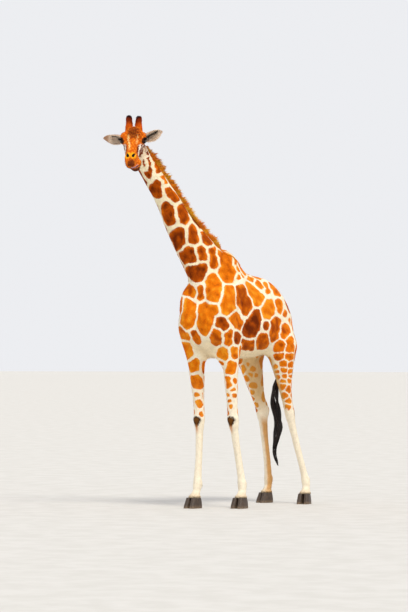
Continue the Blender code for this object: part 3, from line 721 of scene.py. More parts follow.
NAPE_PATCHES = (
    (0.65, (-0.765, 4.14, 0.020), (-0.745, 4.10, 0.026), (-0.71, 4.04, 0.031), (-0.67, 3.97, 0.030)),
    (0.50, (-0.625, 3.90, 0.026), (-0.585, 3.83, 0.026)),
    (0.75, (-0.56, 3.75, 0.038), (-0.52, 3.70, 0.044), (-0.48, 3.65, 0.038)),
    (0.72, (-0.40, 3.53, 0.044), (-0.385, 3.46, 0.050), (-0.365, 3.39, 0.048)),
    (0.70, (-0.27, 3.31, 0.040), (-0.27, 3.24, 0.054), (-0.26, 3.17, 0.056)),
    (0.75, (-0.15, 3.25, 0.020), (-0.12, 3.19, 0.032), (-0.09, 3.13, 0.040)),
    (0.65, (-0.17, 3.03, 0.048), (-0.15, 2.96, 0.042)),
    (0.60, (-0.04, 3.02, 0.042), (-0.03, 2.95, 0.042), (-0.02, 2.88, 0.042)),
    (0.35, (0.06, 3.00, 0.050), (0.12, 2.91, 0.084), (0.14, 2.77, 0.104)),
    (0.30, (0.22, 2.90, 0.018), (0.27, 2.81, 0.018), (0.32, 2.74, 0.015)),
    (0.30, (0.265, 2.72, 0.018)),
)
CHEST_PATCHES = (
    (0.45, (-0.35, 2.56, 0.056), (-0.28, 2.53, 0.044)),
    (0.55, (-0.18, 2.57, 0.028), (-0.18, 2.485, 0.028)),
    (0.30, (-0.34, 2.40, 0.058), (-0.30, 2.36, 0.044), (-0.32, 2.26, 0.062), (-0.34, 2.17, 0.056)),
    (0.30, (-0.43, 2.33, 0.030), (-0.44, 2.26, 0.020)),
    (0.35, (-0.41, 2.07, 0.040), (-0.35, 2.01, 0.040)),
    (0.60, (-0.26, 2.05, 0.024), (-0.235, 2.00, 0.020), (-0.21, 1.95, 0.014)),
    (0.35, (-0.12, 2.34, 0.082), (-0.035, 2.34, 0.044), (-0.12, 2.21, 0.088), (-0.13, 2.105, 0.060)),
)
SHOULDER_PATCHES = (
    (0.25, (-0.035, 2.66, 0.070), (-0.035, 2.57, 0.092), (-0.035, 2.49, 0.078)),
    (0.22, (0.165, 2.53, 0.068), (0.155, 2.45, 0.080), (0.14, 2.364, 0.080)),
    (0.80, (0.05, 2.170, 0.050), (0.095, 2.135, 0.036)),
    (0.40, (0.22, 2.234, 0.050), (0.27, 2.15, 0.044)),
    (0.50, (-0.005, 2.046, 0.052), (0.02, 1.964, 0.052)),
    (0.50, (0.153, 2.03, 0.044), (0.145, 1.95, 0.044)),
    (0.80, (0.247, 2.02, 0.036), (0.25, 1.965, 0.026)),
    (0.20, (0.08, 1.85, 0.042), (0.09, 1.787, 0.048)),
    (0.35, (0.22, 1.86, 0.028), (0.22, 1.80, 0.030)),
    (0.20, (-0.353, 1.905, 0.046), (-0.347, 1.81, 0.052), (-0.353, 1.74, 0.024)),
)
FLANK_PATCHES = (
    (0.60, (0.30, 2.55, 0.064), (0.29, 2.46, 0.060), (0.353, 2.43, 0.066), (0.36, 2.33, 0.046)),
    (0.30, (0.385, 2.695, 0.018), (0.435, 2.685, 0.018)),
    (0.15, (0.375, 2.640, 0.022), (0.41, 2.575, 0.044), (0.45, 2.52, 0.060), (0.50, 2.46, 0.066)),
    (0.35, (0.48, 2.66, 0.023), (0.53, 2.61, 0.020)),
    (0.30, (0.58, 2.63, 0.018), (0.61, 2.55, 0.018)),
    (0.20, (0.62, 2.37, 0.074), (0.61, 2.29, 0.064)),
    (0.30, (0.66, 2.62, 0.034), (0.72, 2.55, 0.046)),
    (0.35, (0.74, 2.41, 0.035), (0.76, 2.32, 0.024)),
    (0.90, (0.46, 2.24, 0.070), (0.44, 2.16, 0.086), (0.39, 2.09, 0.088)),
    (0.80, (0.594, 2.14, 0.032)),
    (0.55, (0.70, 2.175, 0.058), (0.69, 2.10, 0.058), (0.68, 2.03, 0.054)),
    (0.45, (0.82, 2.105, 0.046), (0.81, 2.035, 0.040)),
    (0.35, (0.81, 2.29, 0.024)),
    (0.35, (0.87, 2.20, 0.020)),
    (0.60, (0.34, 1.92, 0.066), (0.40, 1.91, 0.050)),
    (0.60, (0.565, 1.99, 0.056), (0.53, 1.917, 0.052)),
    (0.45, (0.765, 1.917, 0.040), (0.74, 1.865, 0.040)),
    (0.35, (0.865, 1.975, 0.034), (0.87, 1.86, 0.046)),
    (0.45, (0.747, 1.79, 0.042)),
    (0.40, (0.865, 1.787, 0.045)),
)
FORELEG_PATCHES = (
    (0.30, (-0.25, 1.69, 0.046), (-0.265, 1.64, 0.046)),
    (0.35, (-0.25, 1.53, 0.036), (-0.225, 1.48, 0.042), (-0.195, 1.43, 0.036)),
    (0.35, (-0.212, 1.335, 0.026)),
    (0.35, (-0.15, 1.34, 0.012), (-0.15, 1.30, 0.010)),
    (0.30, (-0.20, 1.26, 0.022), (-0.18, 1.21, 0.020)),
    (0.40, (-0.165, 1.105, 0.018)),
    (0.30, (0.065, 1.705, 0.020), (0.075, 1.64, 0.014)),
    (0.35, (0.18, 1.68, 0.042), (0.155, 1.60, 0.040)),
    (0.35, (0.135, 1.52, 0.038), (0.15, 1.45, 0.042)),
    (0.40, (0.218, 1.493, 0.018)),
    (0.35, (0.194, 1.387, 0.020)),
    (0.35, (0.14, 1.320, 0.024)),
    (0.35, (0.212, 1.33, 0.015)),
    (0.35, (0.15, 1.264, 0.022)),
    (0.30, (0.165, 1.195, 0.018)),
)
HIND_LEG_PATCHES = (
    (0.10, (0.33, 1.658, 0.026), (0.30, 1.61, 0.021)),
    (0.10, (0.365, 1.68, 0.014)),
    (0.10, (0.43, 1.63, 0.021)),
    (0.10, (0.406, 1.564, 0.021)),
    (0.10, (0.365, 1.53, 0.024)),
    (0.10, (0.47, 1.564, 0.012)),
    (0.10, (0.323, 1.517, 0.021)),
    (0.10, (0.435, 1.434, 0.028)),
    (0.10, (0.418, 1.364, 0.020)),
    (0.10, (0.423, 1.287, 0.020)),
    (0.10, (0.465, 1.21, 0.018)),
    (0.40, (0.794, 1.693, 0.034)),
    (0.45, (0.88, 1.68, 0.024)),
    (0.35, (0.70, 1.66, 0.012)),
    (0.35, (0.80, 1.617, 0.028)),
    (0.35, (0.876, 1.60, 0.025)),
    (0.35, (0.72, 1.60, 0.012)),
    (0.35, (0.806, 1.552, 0.024)),
    (0.30, (0.88, 1.55, 0.022)),
    (0.30, (0.73, 1.54, 0.014)),
    (0.30, (0.788, 1.493, 0.023)),
    (0.30, (0.87, 1.505, 0.018)),
    (0.30, (0.782, 1.434, 0.026)),
    (0.35, (0.853, 1.393, 0.025)),
    (0.30, (0.806, 1.32, 0.026)),
    (0.30, (0.847, 1.26, 0.023)),
    (0.30, (0.841, 1.19, 0.019)),
)
LAID_PATCHES = (
    *THROAT_PATCHES, *NAPE_PATCHES, *CHEST_PATCHES, *SHOULDER_PATCHES, *FLANK_PATCHES,
    *FORELEG_PATCHES, *HIND_LEG_PATCHES,
)


def laid_patches(surface):
    """The listed discs, as places on the skin with their size, patch number and shade."""
    found = []
    for number, (shade, *discs) in enumerate(LAID_PATCHES):
        for across, height, size in discs:
            aim = ORIGIN + across * RIGHT + (0, 0, height) - VIEWPOINT
            hit = surface.ray_cast(Vector(VIEWPOINT), Vector(unit(aim)))[0]
            if hit is not None:
                found.append((*hit, size, number, shade))
    return np.array(found)


def patch_spacing(places, label):
    """How far apart the other patches lie, and how much longer than wide they are."""
    z = places[:, 2]
    neck = on_part(label, "neck")
    spacing = np.where(neck, 0.170, 0.235 - 0.06 * step(0.75, 1.1, places[:, 1]))
    limb = step(1.95, 1.70, z)
    hind = places[:, 1] > 0.5
    small = np.where(hind, 0.060 + 0.060 * step(1.2, 1.9, z), 0.075 + 0.085 * step(1.1, 1.8, z))
    spacing = spacing + limb * (small - spacing)
    return spacing, np.where(neck, 1.6, np.where(z < 1.8, 1.25, 1.0))


def in_sight(place, surface):
    """Whether a point of the skin is seen from VIEWPOINT, where only the listed patches belong."""
    aim = unit(place - VIEWPOINT)
    hit, normal, _, _ = surface.ray_cast(Vector(VIEWPOINT), Vector(aim))
    return hit is not None and np.linalg.norm(place - hit) < 0.05 and -np.dot(normal, aim) > 0.08


class Patches:
    """Every patch of the body: the listed discs, then single ones as far from the others as they can be."""

    def __init__(self, places, label, flow, surface):
        spacing, stretch = patch_spacing(places, label)
        laid = laid_patches(surface)
        body = ~on_part(label, "head") & (places[:, 2] > 1.12)
        free = np.where(body, 1e9, -1)
        for x, y, z, size, _, _ in laid:
            away = np.linalg.norm(places - (x, y, z), axis=1)
            np.minimum(free, (away - size + 0.52 * spacing) / spacing, out=free, where=body)
        chosen = []
        for i in RNG.permutation(np.flatnonzero(body))[:FILL_TRIES]:
            if free[i] > 0.86 and not in_sight(places[i], surface):
                away = places - places[i]
                squared = (away**2).sum(1) - (1 - 1 / stretch[i] ** 2) * (away @ flow[i]) ** 2
                np.minimum(free, np.sqrt(np.maximum(squared, 0)) / spacing, out=free, where=body)
                chosen.append(i)
        filled = len(chosen)
        self.places = np.concatenate((laid[:, :3], places[chosen]))
        self.size = np.concatenate((laid[:, 3], 0.42 * spacing[chosen]))
        self.number = np.concatenate((laid[:, 4], laid[:, 4].max() + 1 + np.arange(filled))).astype(int)
        shades = np.where(on_part(label[chosen], "neck"), 0.72, 0.42) + 0.18 * RNG.normal(size=filled)
        self.shade = np.concatenate((laid[:, 5], np.clip(shades, 0.1, 0.95)))
        self.laid = np.arange(len(self.size)) < len(laid)
        self.direction = np.concatenate((unit(VIEWPOINT - laid[:, :3]), flow[chosen]))
        self.squeeze = np.concatenate((np.full(len(laid), 0.86), 1 - 1 / stretch[chosen] ** 2))
        self.slack = np.concatenate((0.34 * laid[:, 3] + 0.016, 0.6 * spacing[chosen]))

    def at(self, places, normals, count=8, soft=0.0050):
        """How far inside its patch each point lies, and the patch's shade."""
        edge, shade = np.zeros(len(places)), np.zeros(len(places))
        for low in range(0, len(places), 20000):
            batch = slice(low, low + 20000)
            p, n = places[batch], normals[batch]
            squared = (p**2).sum(1)[:, None] - 2 * p @ self.places.T + (self.places**2).sum(1)
            along = p @ self.direction.T - (self.places * self.direction).sum(1)
            # listed discs keep their look on slanting skin, but don't reach round to the far side
            facing = step(-0.05, 0.25, (n * unit(VIEWPOINT - p)).sum(1))[:, None]
            power = squared - self.squeeze * np.where(self.laid, facing, 1) * along**2 - self.size**2
            order = np.argpartition(power, count, axis=1)[:, :count]
            order = np.take_along_axis(order, np.take_along_axis(power, order, 1).argsort(1), 1)
            near = np.take_along_axis(power, order, 1)
            first = order[:, 0]
            total = reach = 0
            for k in range(count):
                other = order[:, k]
                same = self.number[other] == self.number[first]
                far = np.sqrt(np.maximum(near[:, k] + self.size[other] ** 2, 0))
                inside = self.size[other] + self.slack[other] - far
                reach = reach + np.where(same, np.exp(np.clip(inside / 0.018, -30, 30)), 0)
                turn = self.slope(p, first, facing) - self.slope(p, other, facing)
                turn = turn - n * (turn * n).sum(1)[:, None]
                distance = (near[:, k] - near[:, 0]) / np.maximum(2 * np.linalg.norm(turn, axis=1), 0.02)
                total = total + np.where(same, 0, np.exp(-distance / soft))
            total = total + np.exp(-(0.018 * np.log(reach) + 0.012) / soft)
            edge[batch] = -soft * np.log(np.maximum(total, 1e-12))
            shade[batch] = self.shade[first]
        return edge, shade

    def slope(self, points, k, facing):
        """How fast patch k's distance grows at the points, and which way."""
        away = points - self.places[k]
        squeeze = self.squeeze[k] * np.where(self.laid[k], facing[:, 0], 1)
        return away - (squeeze * (away * self.direction[k]).sum(1))[:, None] * self.direction[k]


def mixed(a, b, share):
    """Colours from a to b by each point's share of b; either may be one colour."""
    share = np.clip(share, 0, 1)[:, None]
    return a * (1 - share) + b * share


def paint_body(places, normals, label, flow, surface):
    """The pale ground, the patches' colour and how far inside a patch each point of the body lies."""
    x, y, z = places.T
    warped = places + 0.005 * np.stack([Noise(0.14)(places) for _ in range(3)], 1)
    warped = warped + 0.0025 * np.stack([Noise(0.035)(places) for _ in range(3)], 1)
    edge, shade = Patches(places, label, flow, surface).at(warped, normals)
    fore, hind = (y < 0.45), (y > 0.45)
    inner = step(0.15, -0.35, normals[:, 0] * np.sign(x - ORIGIN[0])) * step(2.0, 1.8, z)
    below = step(-0.45, -0.85, normals[:, 2]) * step(2.1, 1.95, z)
    neck = on_part(label, "neck")
    width = 0.026 + 0.013 * neck * step(2.9, 3.4, z) - 0.011 * hind * step(2.2, 1.9, z)
    edge = edge - (width + 0.008 * inner + 0.016 * below) / 2
    low = np.where(hind, 1.14, 1.08) + 0.03 * Noise(0.10)(places)
    edge = np.minimum(edge, (z - low) * 0.5)
    edge = edge - 0.09 * step(-0.66, -0.86, normals[:, 2]) * step(1.94, 1.89, z) * step(1.60, 1.70, z)
    cloudy = shade + 0.20 * Noise(0.12)(places) + 0.07 * Noise(0.035)(places)
    cloudy = cloudy + (0.12 + 0.20 * shade) * (step(0.004, 0.050, edge) - 0.7)
    patch = mixed(rgb(250, 160, 34), rgb(232, 120, 4), step(-0.05, 0.35, cloudy))
    patch = mixed(patch, rgb(178, 76, 0), step(0.35, 0.72, cloudy))
    patch = mixed(patch, rgb(112, 40, 0), step(0.72, 1.10, cloudy))
    # painted shade: the patches turn paler tan on the inner side of the hind legs and on the underside; on
    # the lower legs they are paler in their own colour
    pale = 0.72 * inner * hind + 0.20 * step(1.6, 1.3, z) + 0.25 * below
    patch = mixed(patch, rgb(208, 146, 66), pale)
    patch = patch * (1 + 0.05 * Noise(0.02)(places))[:, None]
    ground = mixed(rgb(255, 244, 218), rgb(250, 236, 198), neck * 0.7)
    ground = mixed(ground, rgb(252, 240, 216), step(1.75, 1.35, z))
    # painted shade: the inner side of the hind legs turns tan from just above the hocks up
    ground = mixed(ground, rgb(214, 178, 116), 0.8 * (inner * hind * step(1.05, 1.35, z)))
    # painted shade: the underside turns darker cream
    ground = mixed(ground, rgb(246, 226, 184), 0.7 * below)
    # painted shade: the inner side of the right hind leg below the hock turns tan
    shaded_inner_side = step(-0.5, 0.5, normals[:, 0] + 0.4 * normals[:, 1])
    cannon = on_part(label, "hind_right") * step(1.1, 0.95, z) * shaded_inner_side
    ground = mixed(ground, rgb(208, 150, 76), 0.9 * cannon)
    ground = ground * (1 + 0.04 * Noise(0.09)(places) + 0.03 * Noise(0.02)(places))[:, None]
    # dark brushes on the front of the knees, browner hocks, and the tail
    for side, turn in (("left", 13), ("right", 12)):
        line = LINES[f"fore_{side}"]
        knee = np.array([np.interp(1.045, line[::-1, 2], line[::-1, k]) for k in range(3)])
        sin, cos = math.sin(math.radians(turn)), math.cos(math.radians(turn))
        away = (places - knee) @ np.array(((cos, -sin, 0), (sin, cos, 0), (0, 0, 1)))
        ahead = normals[:, 0] * sin - normals[:, 1] * cos
        front = step(-0.45, 0.05, ahead) * (np.abs(away[:, 0]) < 0.1) * (np.abs(away[:, 1]) < 0.15)
        drop = away[:, 2] + 0.008
        half = 0.060 - 0.36 * np.clip(-drop, 0, 0.10)
        shape = (away[:, 0] / half) ** 2 + (drop / np.where(drop > 0, 0.046, 0.090)) ** 2
        dark = front * step(1.25, 0.60, shape + 0.22 * Noise(0.02)(places)) * fore
        edge = np.where(dark > 0.05, np.minimum(edge, -0.02), edge)
        brush = mixed(rgb(110, 68, 26), rgb(46, 24, 12), step(0.1, 0.6, shape))
        ground = mixed(ground, brush, dark)
        below_knee = step(-0.05, -0.09, away[:, 2]) * step(-0.20, -0.10, away[:, 2])
        streak = front * fore * blob(away[:, 0], 0, 0.016) * below_knee
        ground = mixed(ground, rgb(214, 128, 56), streak * 0.8)
    hock = blob(z, 1.10, 0.06) * hind * step(0.0, 0.6, normals[:, 1])
    ground = mixed(ground, rgb(176, 122, 74), hock * 0.7)
    hoofward = step(0.21, 0.13, z)
    ground = mixed(ground, rgb(200, 172, 132), hoofward * 0.6)
    tail = on_part(label, "tail") * 1.0
    ground = mixed(ground, mixed(rgb(238, 214, 178), rgb(24, 15, 13), step(1.75, 1.60, z)), tail)
    edge = np.where(tail > 0, np.minimum(edge, (z - 1.78) * 0.3), edge)
    return ground, patch, edge


def paint_head(places, normals):
    """Colours of the head and ears in the head's own frame; how bare the skin is; which points are ears, and
    the points in the head's frame.
    """
    head = to_head(places)
    s, f, u = head.T
    side = np.abs(s)
    rough = 0.006 * Noise(0.03)(places) + 0.003 * Noise(0.012)(places)
    tone = mixed(rgb(206, 92, 8), rgb(238, 136, 30), step(-0.2, 0.9, Noise(0.030)(places)))
    tone = tone * (1 + 0.14 * Noise(0.016)(places))[:, None]
    # the forehead's dark patch and small spots between the horns
    brow = ((s - 0.016) / 0.076) ** 2 + ((f - 0.222) / 0.082) ** 2
    top = u > 0.02
    mottle = 0.72 + 0.28 * step(-0.5, 0.4, Noise(0.018)(places))
    brow = step(1.7, 0.1, brow + 50 * rough + 0.55 * Noise(0.022)(places))
    tone = mixed(tone, rgb(84, 30, 4), 0.94 * mottle * top * brow)
    tone = mixed(tone, rgb(150, 60, 12), 0.5 * top * step(0.2, 0.8, Noise(0.045)(places)) * (f < 0.30))
    # white of the cheeks and under the eyes, and a cream streak beside the bridge of the nose
    cheek_top = -0.035 + 0.044 * step(0.24, 0.35, f) - 0.034 * step(0.37, 0.47, f)
    cheek = step(0.009, -0.009, u - cheek_top + rough) * step(0.49, 0.43, f + 2 * rough)
    cheek = np.maximum(cheek, step(0.02, -0.02, f - 0.06 + rough) * step(0.04, -0.02, u))
    tone = mixed(tone, rgb(248, 238, 222), cheek)
    streak_line = np.where(s < 0, 0.053 - 0.13 * (f - 0.24), 0.058 - 0.05 * (f - 0.24))
    wide = np.where(s < 0, 0.0075, 0.0055)
    streak = step(wide + 0.005, wide - 0.003, np.abs(side - streak_line) + 1.4 * rough)
    streak = streak * step(0.22, 0.27, f) * step(0.52, 0.44, f + 0.12 * (s > 0)) * (u > -0.05)
    tone = mixed(tone, rgb(255, 216, 140), np.where(s < 0, 0.85, 0.6) * streak)
    inner = step(0.020, 0.008, np.abs(side - 0.088) + rough) * blob(f, 0.275, 0.035) * blob(u, -0.022, 0.02)
    tone = mixed(tone, rgb(246, 234, 214), inner)
    # the muzzle: yellower round the nostrils, a dark middle of the upper lip, dark lips and chin
    nose = np.linalg.norm((np.stack((side, f, u), 1) - NOSTRIL) / (0.034, 0.045, 0.040), axis=1)
    tone = mixed(tone, rgb(248, 172, 22), step(1.45, 0.75, nose))
    lip = ((s - 0.014) / 0.050) ** 2 + ((f - 0.700) / 0.080) ** 2 + ((u + 0.060) / 0.048) ** 2
    lip = step(1.30, 0.15, lip + 26 * rough + 0.2 * Noise(0.02)(places))
    tone = mixed(tone, rgb(78, 28, 12), 0.90 * lip * (f > 0.6))
    chin = step(-0.122, -0.142, u + rough) * step(0.47, 0.55, f)
    tone = mixed(tone, rgb(62, 30, 22), 0.92 * chin)
    inner_lip = blob(u, -0.112, 0.010) * step(0.62, 0.66, f) * step(0.004, 0.018, s)
    tone = mixed(tone, rgb(206, 176, 196), 0.8 * inner_lip * np.where(s > 0, 1.0, 0.3))
    # painted shade: a dark line in the crease between the lips
    crease = blob(u, -0.121, 0.005) * step(0.55, 0.60, f)
    tone = mixed(tone, rgb(40, 20, 18), 0.9 * crease)
    jaw = step(-0.105, -0.135, u + rough) * step(0.47, 0.40, f) * step(0.06, 0.10, f)
    tone = mixed(tone, rgb(226, 200, 160), 0.7 * jaw)
    # painted shadow: the nostrils' openings are dark
    along, over, close = nostril_at(np.stack((side, f, u), 1), 0.0245, 0.0155)
    nostril_shadow = step(1.3, 0.8, along**2 + over**2) * close
    tone = mixed(tone, rgb(20, 10, 10), nostril_shadow)
    bare = np.maximum.reduce([nostril_shadow, crease, 0.7 * inner_lip, 0.35 * step(1.1, 0.6, nose)])
    for name in SIDES:
        gap, z = lid_gap(name, places)
        near = (np.linalg.norm(places - EYES[name], axis=1) < 0.07) & (z > -0.015)
        rim = near * step(0.0260, 0.014, gap + 0.3 * rough)
        tone = mixed(tone, rgb(28, 15, 14), rim)
        bare = np.maximum(bare, 0.6 * rim)
    behind_eye = ((side - 0.130) / 0.050) ** 2 + ((f - 0.135) / 0.110) ** 2 + ((u + 0.018) / 0.036) ** 2
    tone = mixed(tone, rgb(30, 16, 14), 0.96 * step(1.35, 0.7, behind_eye + 20 * rough) * (side > 0.08))
    around_eye = ((side - 0.132) / 0.033) ** 2 + ((f - 0.262) / 0.060) ** 2 + ((u - 0.022) / 0.034) ** 2
    tone = mixed(tone, rgb(30, 16, 14), 0.94 * step(1.3, 0.8, around_eye + 20 * rough))
    # the ears: cream inside with dark streaks from the root, tan behind and along the rim
    ear = (side > EAR_SIDE) & (f < 0.16) & (f > -0.12) & (u > -0.18) & (places[:, 2] > EAR_BOTTOM)
    out = side - 0.10
    facing = (normals @ FORWARD) > -0.05
    for name, sign in SIDES.items():
        mine = ear & (s * sign > 0)
        lift = math.tan(math.radians(EAR_LIFT[name]))
        level = u - EAR_ROOT[2] - lift * (side - EAR_ROOT[0])
        inside = rgb(255, 234, 212) * (1 + 0.05 * Noise(0.02)(places))[:, None]
        if name == "left":
            width = 0.018 + 0.005 * Noise(0.025)(places)
            dark = blob(level, 0.24 * out - 0.012, width) * step(0.18, 0.15, out)
        else:
            dark = blob(level, -0.012, 0.017) * step(0.105, 0.08, out)
            upper = blob(level, 0.026, 0.011) * step(0.05, 0.09, out) * step(0.185, 0.15, out)
            dark = np.maximum(dark, upper)
        dark = np.maximum(dark, 0.5 * blob(level, -0.030, 0.005) * step(0.14, 0.05, out))
        dark = step(0.25, 0.75, dark + 0.16 * Noise(0.03)(places))
        inside = mixed(inside, rgb(34, 22, 20), 0.95 * dark)
        inside = mixed(inside, rgb(176, 112, 60), step(0.19, 0.235, out) * 0.7)
        behind = mixed(rgb(196, 122, 60), rgb(236, 214, 176), step(0.05, 0.20, out) * 0.7)
        cloud = 0.6 * step(0.2, 0.7, Noise(0.05)(places)) * step(0.16, 0.06, out)
        behind = mixed(behind, rgb(110, 56, 26), cloud)
        colour = np.where(facing[:, None], inside, behind)
        tone = np.where(mine[:, None], colour, tone)
    return tone, bare, ear, head


# Brown patches on the cheek and the jaw: forward, up, half length, half width and lean in degrees.
CHEEK_PATCHES = (
    (0.435, -0.018, 0.056, 0.010, -22),
    (0.400, -0.066, 0.044, 0.014, -40),
    (0.335, -0.070, 0.052, 0.020, -50),
    (0.245, -0.085, 0.050, 0.021, -62),
    (0.155, -0.090, 0.046, 0.020, -72),
    (0.395, -0.120, 0.050, 0.017, -34),
    (0.290, -0.145, 0.044, 0.019, -44),
    (0.200, -0.165, 0.046, 0.020, -56),
    (0.110, -0.165, 0.050, 0.021, -66),
    (0.060, -0.090, 0.046, 0.020, -76),
    (0.040, -0.200, 0.050, 0.020, -60),
    (-0.010, -0.100, 0.070, 0.022, -80),
)


def cheek_edge(head):
    """How far inside one of the cheek's patches each point lies."""
    side, f, u = np.abs(head[:, 0]), head[:, 1], head[:, 2]
    best = np.full(len(head), -1.0)
    for k, (ahead, up, long, wide, lean) in enumerate(CHEEK_PATCHES):
        lean = math.radians(lean + 4 * np.sin(5 * k))
        along = (f - ahead) * math.cos(lean) + (u - up) * math.sin(lean)
        across = (u - up) * math.cos(lean) - (f - ahead) * math.sin(lean)
        inside = (1.40 - np.sqrt((along / long) ** 2 + (across / wide) ** 2)) * wide
        best = np.maximum(best, inside)
    return np.where((side > 0.035) & (f < 0.50), best, -1.0)


def paint(mesh):
    """The colours, patches and bareness of every point of the skin, as arrays."""
    places, normals = places_of(mesh), normals_of(mesh)
    label, _, angle, flow = chart(places)
    ground, patch, edge = paint_body(places, normals, label, flow, surface_of(mesh))
    tone, bare, ear, head = paint_head(places, normals)
    # the head's colours fade into the neck's behind the jaw and the ears
    on_head = (places[:, 2] > HEAD_BOTTOM) * step(-0.05, 0.03, head[:, 1] + 0.02 * Noise(0.05)(places))
    on_head = np.maximum(on_head, ear * 1.0) * step(-0.30, -0.19, head[:, 2])
    ground = mixed(ground, tone, on_head)
    cheek = np.where(ear, -1.0, cheek_edge(head + 0.006 * Noise(0.05)(places)[:, None]))
    edge = np.maximum(np.where(on_head > 0.2, cheek, -1), np.where(on_head < 0.6, edge, -1))
    patch = mixed(patch, rgb(122, 46, 10), on_head)
    bare = bare * on_part(label, "head")
    return {
        "places": places, "normals": normals, "label": label, "angle": angle, "flow": flow,
        "ground": ground, "patch": patch, "edge": edge, "bare": bare, "head": head, "ear": ear,
    }


# ---- materials --------------------------------------------------------------------------------------
def node_tree(name):
    """A new material, its node tree and its shader."""
    material = bpy.data.materials.new(name)
    material.use_nodes = True
    tree = material.node_tree
    shader = tree.nodes["Principled BSDF"]
    return material, tree, shader


def add(tree, kind, **settings):
    """A node with its settings: names of properties, or of sockets with their values."""
    node = tree.nodes.new(kind)
    for key, value in settings.items():
        if hasattr(node, key):
            setattr(node, key, value)
        else:
            node.inputs[key.replace("_", " ")].default_value = value
    return node


def join(tree, a, b):
    tree.links.new(a, b)


def maths(tree, operation, a, b):
    node = add(tree, "ShaderNodeMath", operation=operation)
    for socket, value in zip(node.inputs, (a, b)):
        if isinstance(value, (int, float)):
            socket.default_value = value
        else:
            join(tree, value, socket)
    return node.outputs[0]


def noise_at(tree, scale, detail=3.0, stretch=(1, 1, 1)):
    """Noise in the object's own space, with `scale` features a metre."""
    where = add(tree, "ShaderNodeTexCoord")
    mapping = add(tree, "ShaderNodeMapping")
    mapping.inputs["Scale"].default_value = stretch
    join(tree, where.outputs["Object"], mapping.inputs["Vector"])
    noise = add(tree, "ShaderNodeTexNoise", Scale=float(scale), Detail=float(detail), Roughness=0.6)
    join(tree, mapping.outputs[0], noise.inputs["Vector"])
    return noise.outputs["Fac"]


def ramp(tree, value, low, high, to_low=0.0, to_high=1.0, smooth=True):
    """The value carried from one range to another, and held at its ends."""
    node = add(tree, "ShaderNodeMapRange")
    node.interpolation_type = "SMOOTHSTEP" if smooth else "LINEAR"
    for socket, number in zip(node.inputs[1:5], (low, high, to_low, to_high)):
        socket.default_value = number
    join(tree, value, node.inputs[0])
    return node.outputs[0]


def mix_colour(tree, share, a, b, blend="MIX"):
    node = add(tree, "ShaderNodeMix", data_type="RGBA", blend_type=blend)
    for socket, value in ((node.inputs[0], share), (node.inputs[6], a), (node.inputs[7], b)):
        if isinstance(value, (int, float)):
            socket.default_value = value
        elif isinstance(value, (tuple, list, np.ndarray)):
            socket.default_value = (*value[:3], 1)
        else:
            join(tree, value, socket)
    return node.outputs[2]


def scaled(tree, colour, factor):
    node = add(tree, "ShaderNodeVectorMath", operation="SCALE")
    join(tree, colour, node.inputs[0])
    join(tree, factor, node.inputs["Scale"])
    return node.outputs[0]


def attribute(tree, name, socket="Color"):
    return add(tree, "ShaderNodeAttribute", attribute_name=name).outputs[socket]


def bump(tree, shader, height, distance, strength=1.0):
    node = add(tree, "ShaderNodeBump", Strength=strength, Distance=distance)
    join(tree, height, node.inputs["Height"])
    join(tree, node.outputs[0], shader.inputs["Normal"])


def hide_material():
    """Short fur on hide: patches from the skin's attributes, with hair-scale colour and bump."""
    material, tree, shader = node_tree("short_fur")
    edge = attribute(tree, "edge", "Fac")
    jitter = ramp(tree, noise_at(tree, 90, 4), 0.3, 0.7, -0.0035, 0.0035, smooth=False)
    inside = ramp(tree, maths(tree, "ADD", edge, jitter), *EDGE)
    colour = mix_colour(tree, inside, attribute(tree, "ground"), attribute(tree, "patch"))
    fine = ramp(tree, noise_at(tree, 420, 4, (1, 1, 0.35)), 0.25, 0.75, 0.80, 1.16, smooth=False)
    broad = ramp(tree, noise_at(tree, 34, 3), 0.3, 0.7, 0.93, 1.06, smooth=False)
    shade = maths(tree, "MULTIPLY", fine, broad)
    join(tree, scaled(tree, colour, shade), shader.inputs["Base Color"])
    bare = attribute(tree, "bare", "Fac")
    join(tree, ramp(tree, bare, 0, 1, 0.78, 0.38, smooth=False), shader.inputs["Roughness"])
    shader.inputs["Specular IOR Level"].default_value = 0.08
    lie = noise_at(tree, 300, 3, (1, 1, 0.3))
    crease = noise_at(tree, 40, 3)
    bump(tree, shader, maths(tree, "ADD", lie, maths(tree, "MULTIPLY", crease, 1.5)), 0.0022, 0.7)
    return material


def hair_material(name, roughness, sheen, specular=0.08):
    """Tufts in the colour of the place they grow from, each with its own shade."""
    material, tree, shader = node_tree(name)
    fine = ramp(tree, noise_at(tree, 260, 3), 0.25, 0.75, 0.86, 1.14, smooth=False)
    join(tree, scaled(tree, attribute(tree, "tone"), fine), shader.inputs["Base Color"])
    worn = ramp(tree, noise_at(tree, 120, 2), 0.3, 0.7, roughness - 0.07, roughness + 0.07)
    join(tree, worn, shader.inputs["Roughness"])
    shader.inputs["Sheen Weight"].default_value = sheen
    shader.inputs["Specular IOR Level"].default_value = specular
    bump(tree, shader, noise_at(tree, 500, 2), 0.0008, 0.5)
    return material


def eye_material():
    """A wet, glossy eyeball."""
    material, tree, shader = node_tree("eye_glass")
    veins = ramp(tree, noise_at(tree, 400, 3), 0.3, 0.7, 0.85, 1.15, smooth=False)
    join(tree, scaled(tree, attribute(tree, "tone"), veins), shader.inputs["Base Color"])
    shader.inputs["Roughness"].default_value = 0.07
    shader.inputs["Coat Weight"].default_value = 1.0
    shader.inputs["Coat Roughness"].default_value = 0.02
    bump(tree, shader, noise_at(tree, 700, 2), 0.0002, 0.15)
    return material


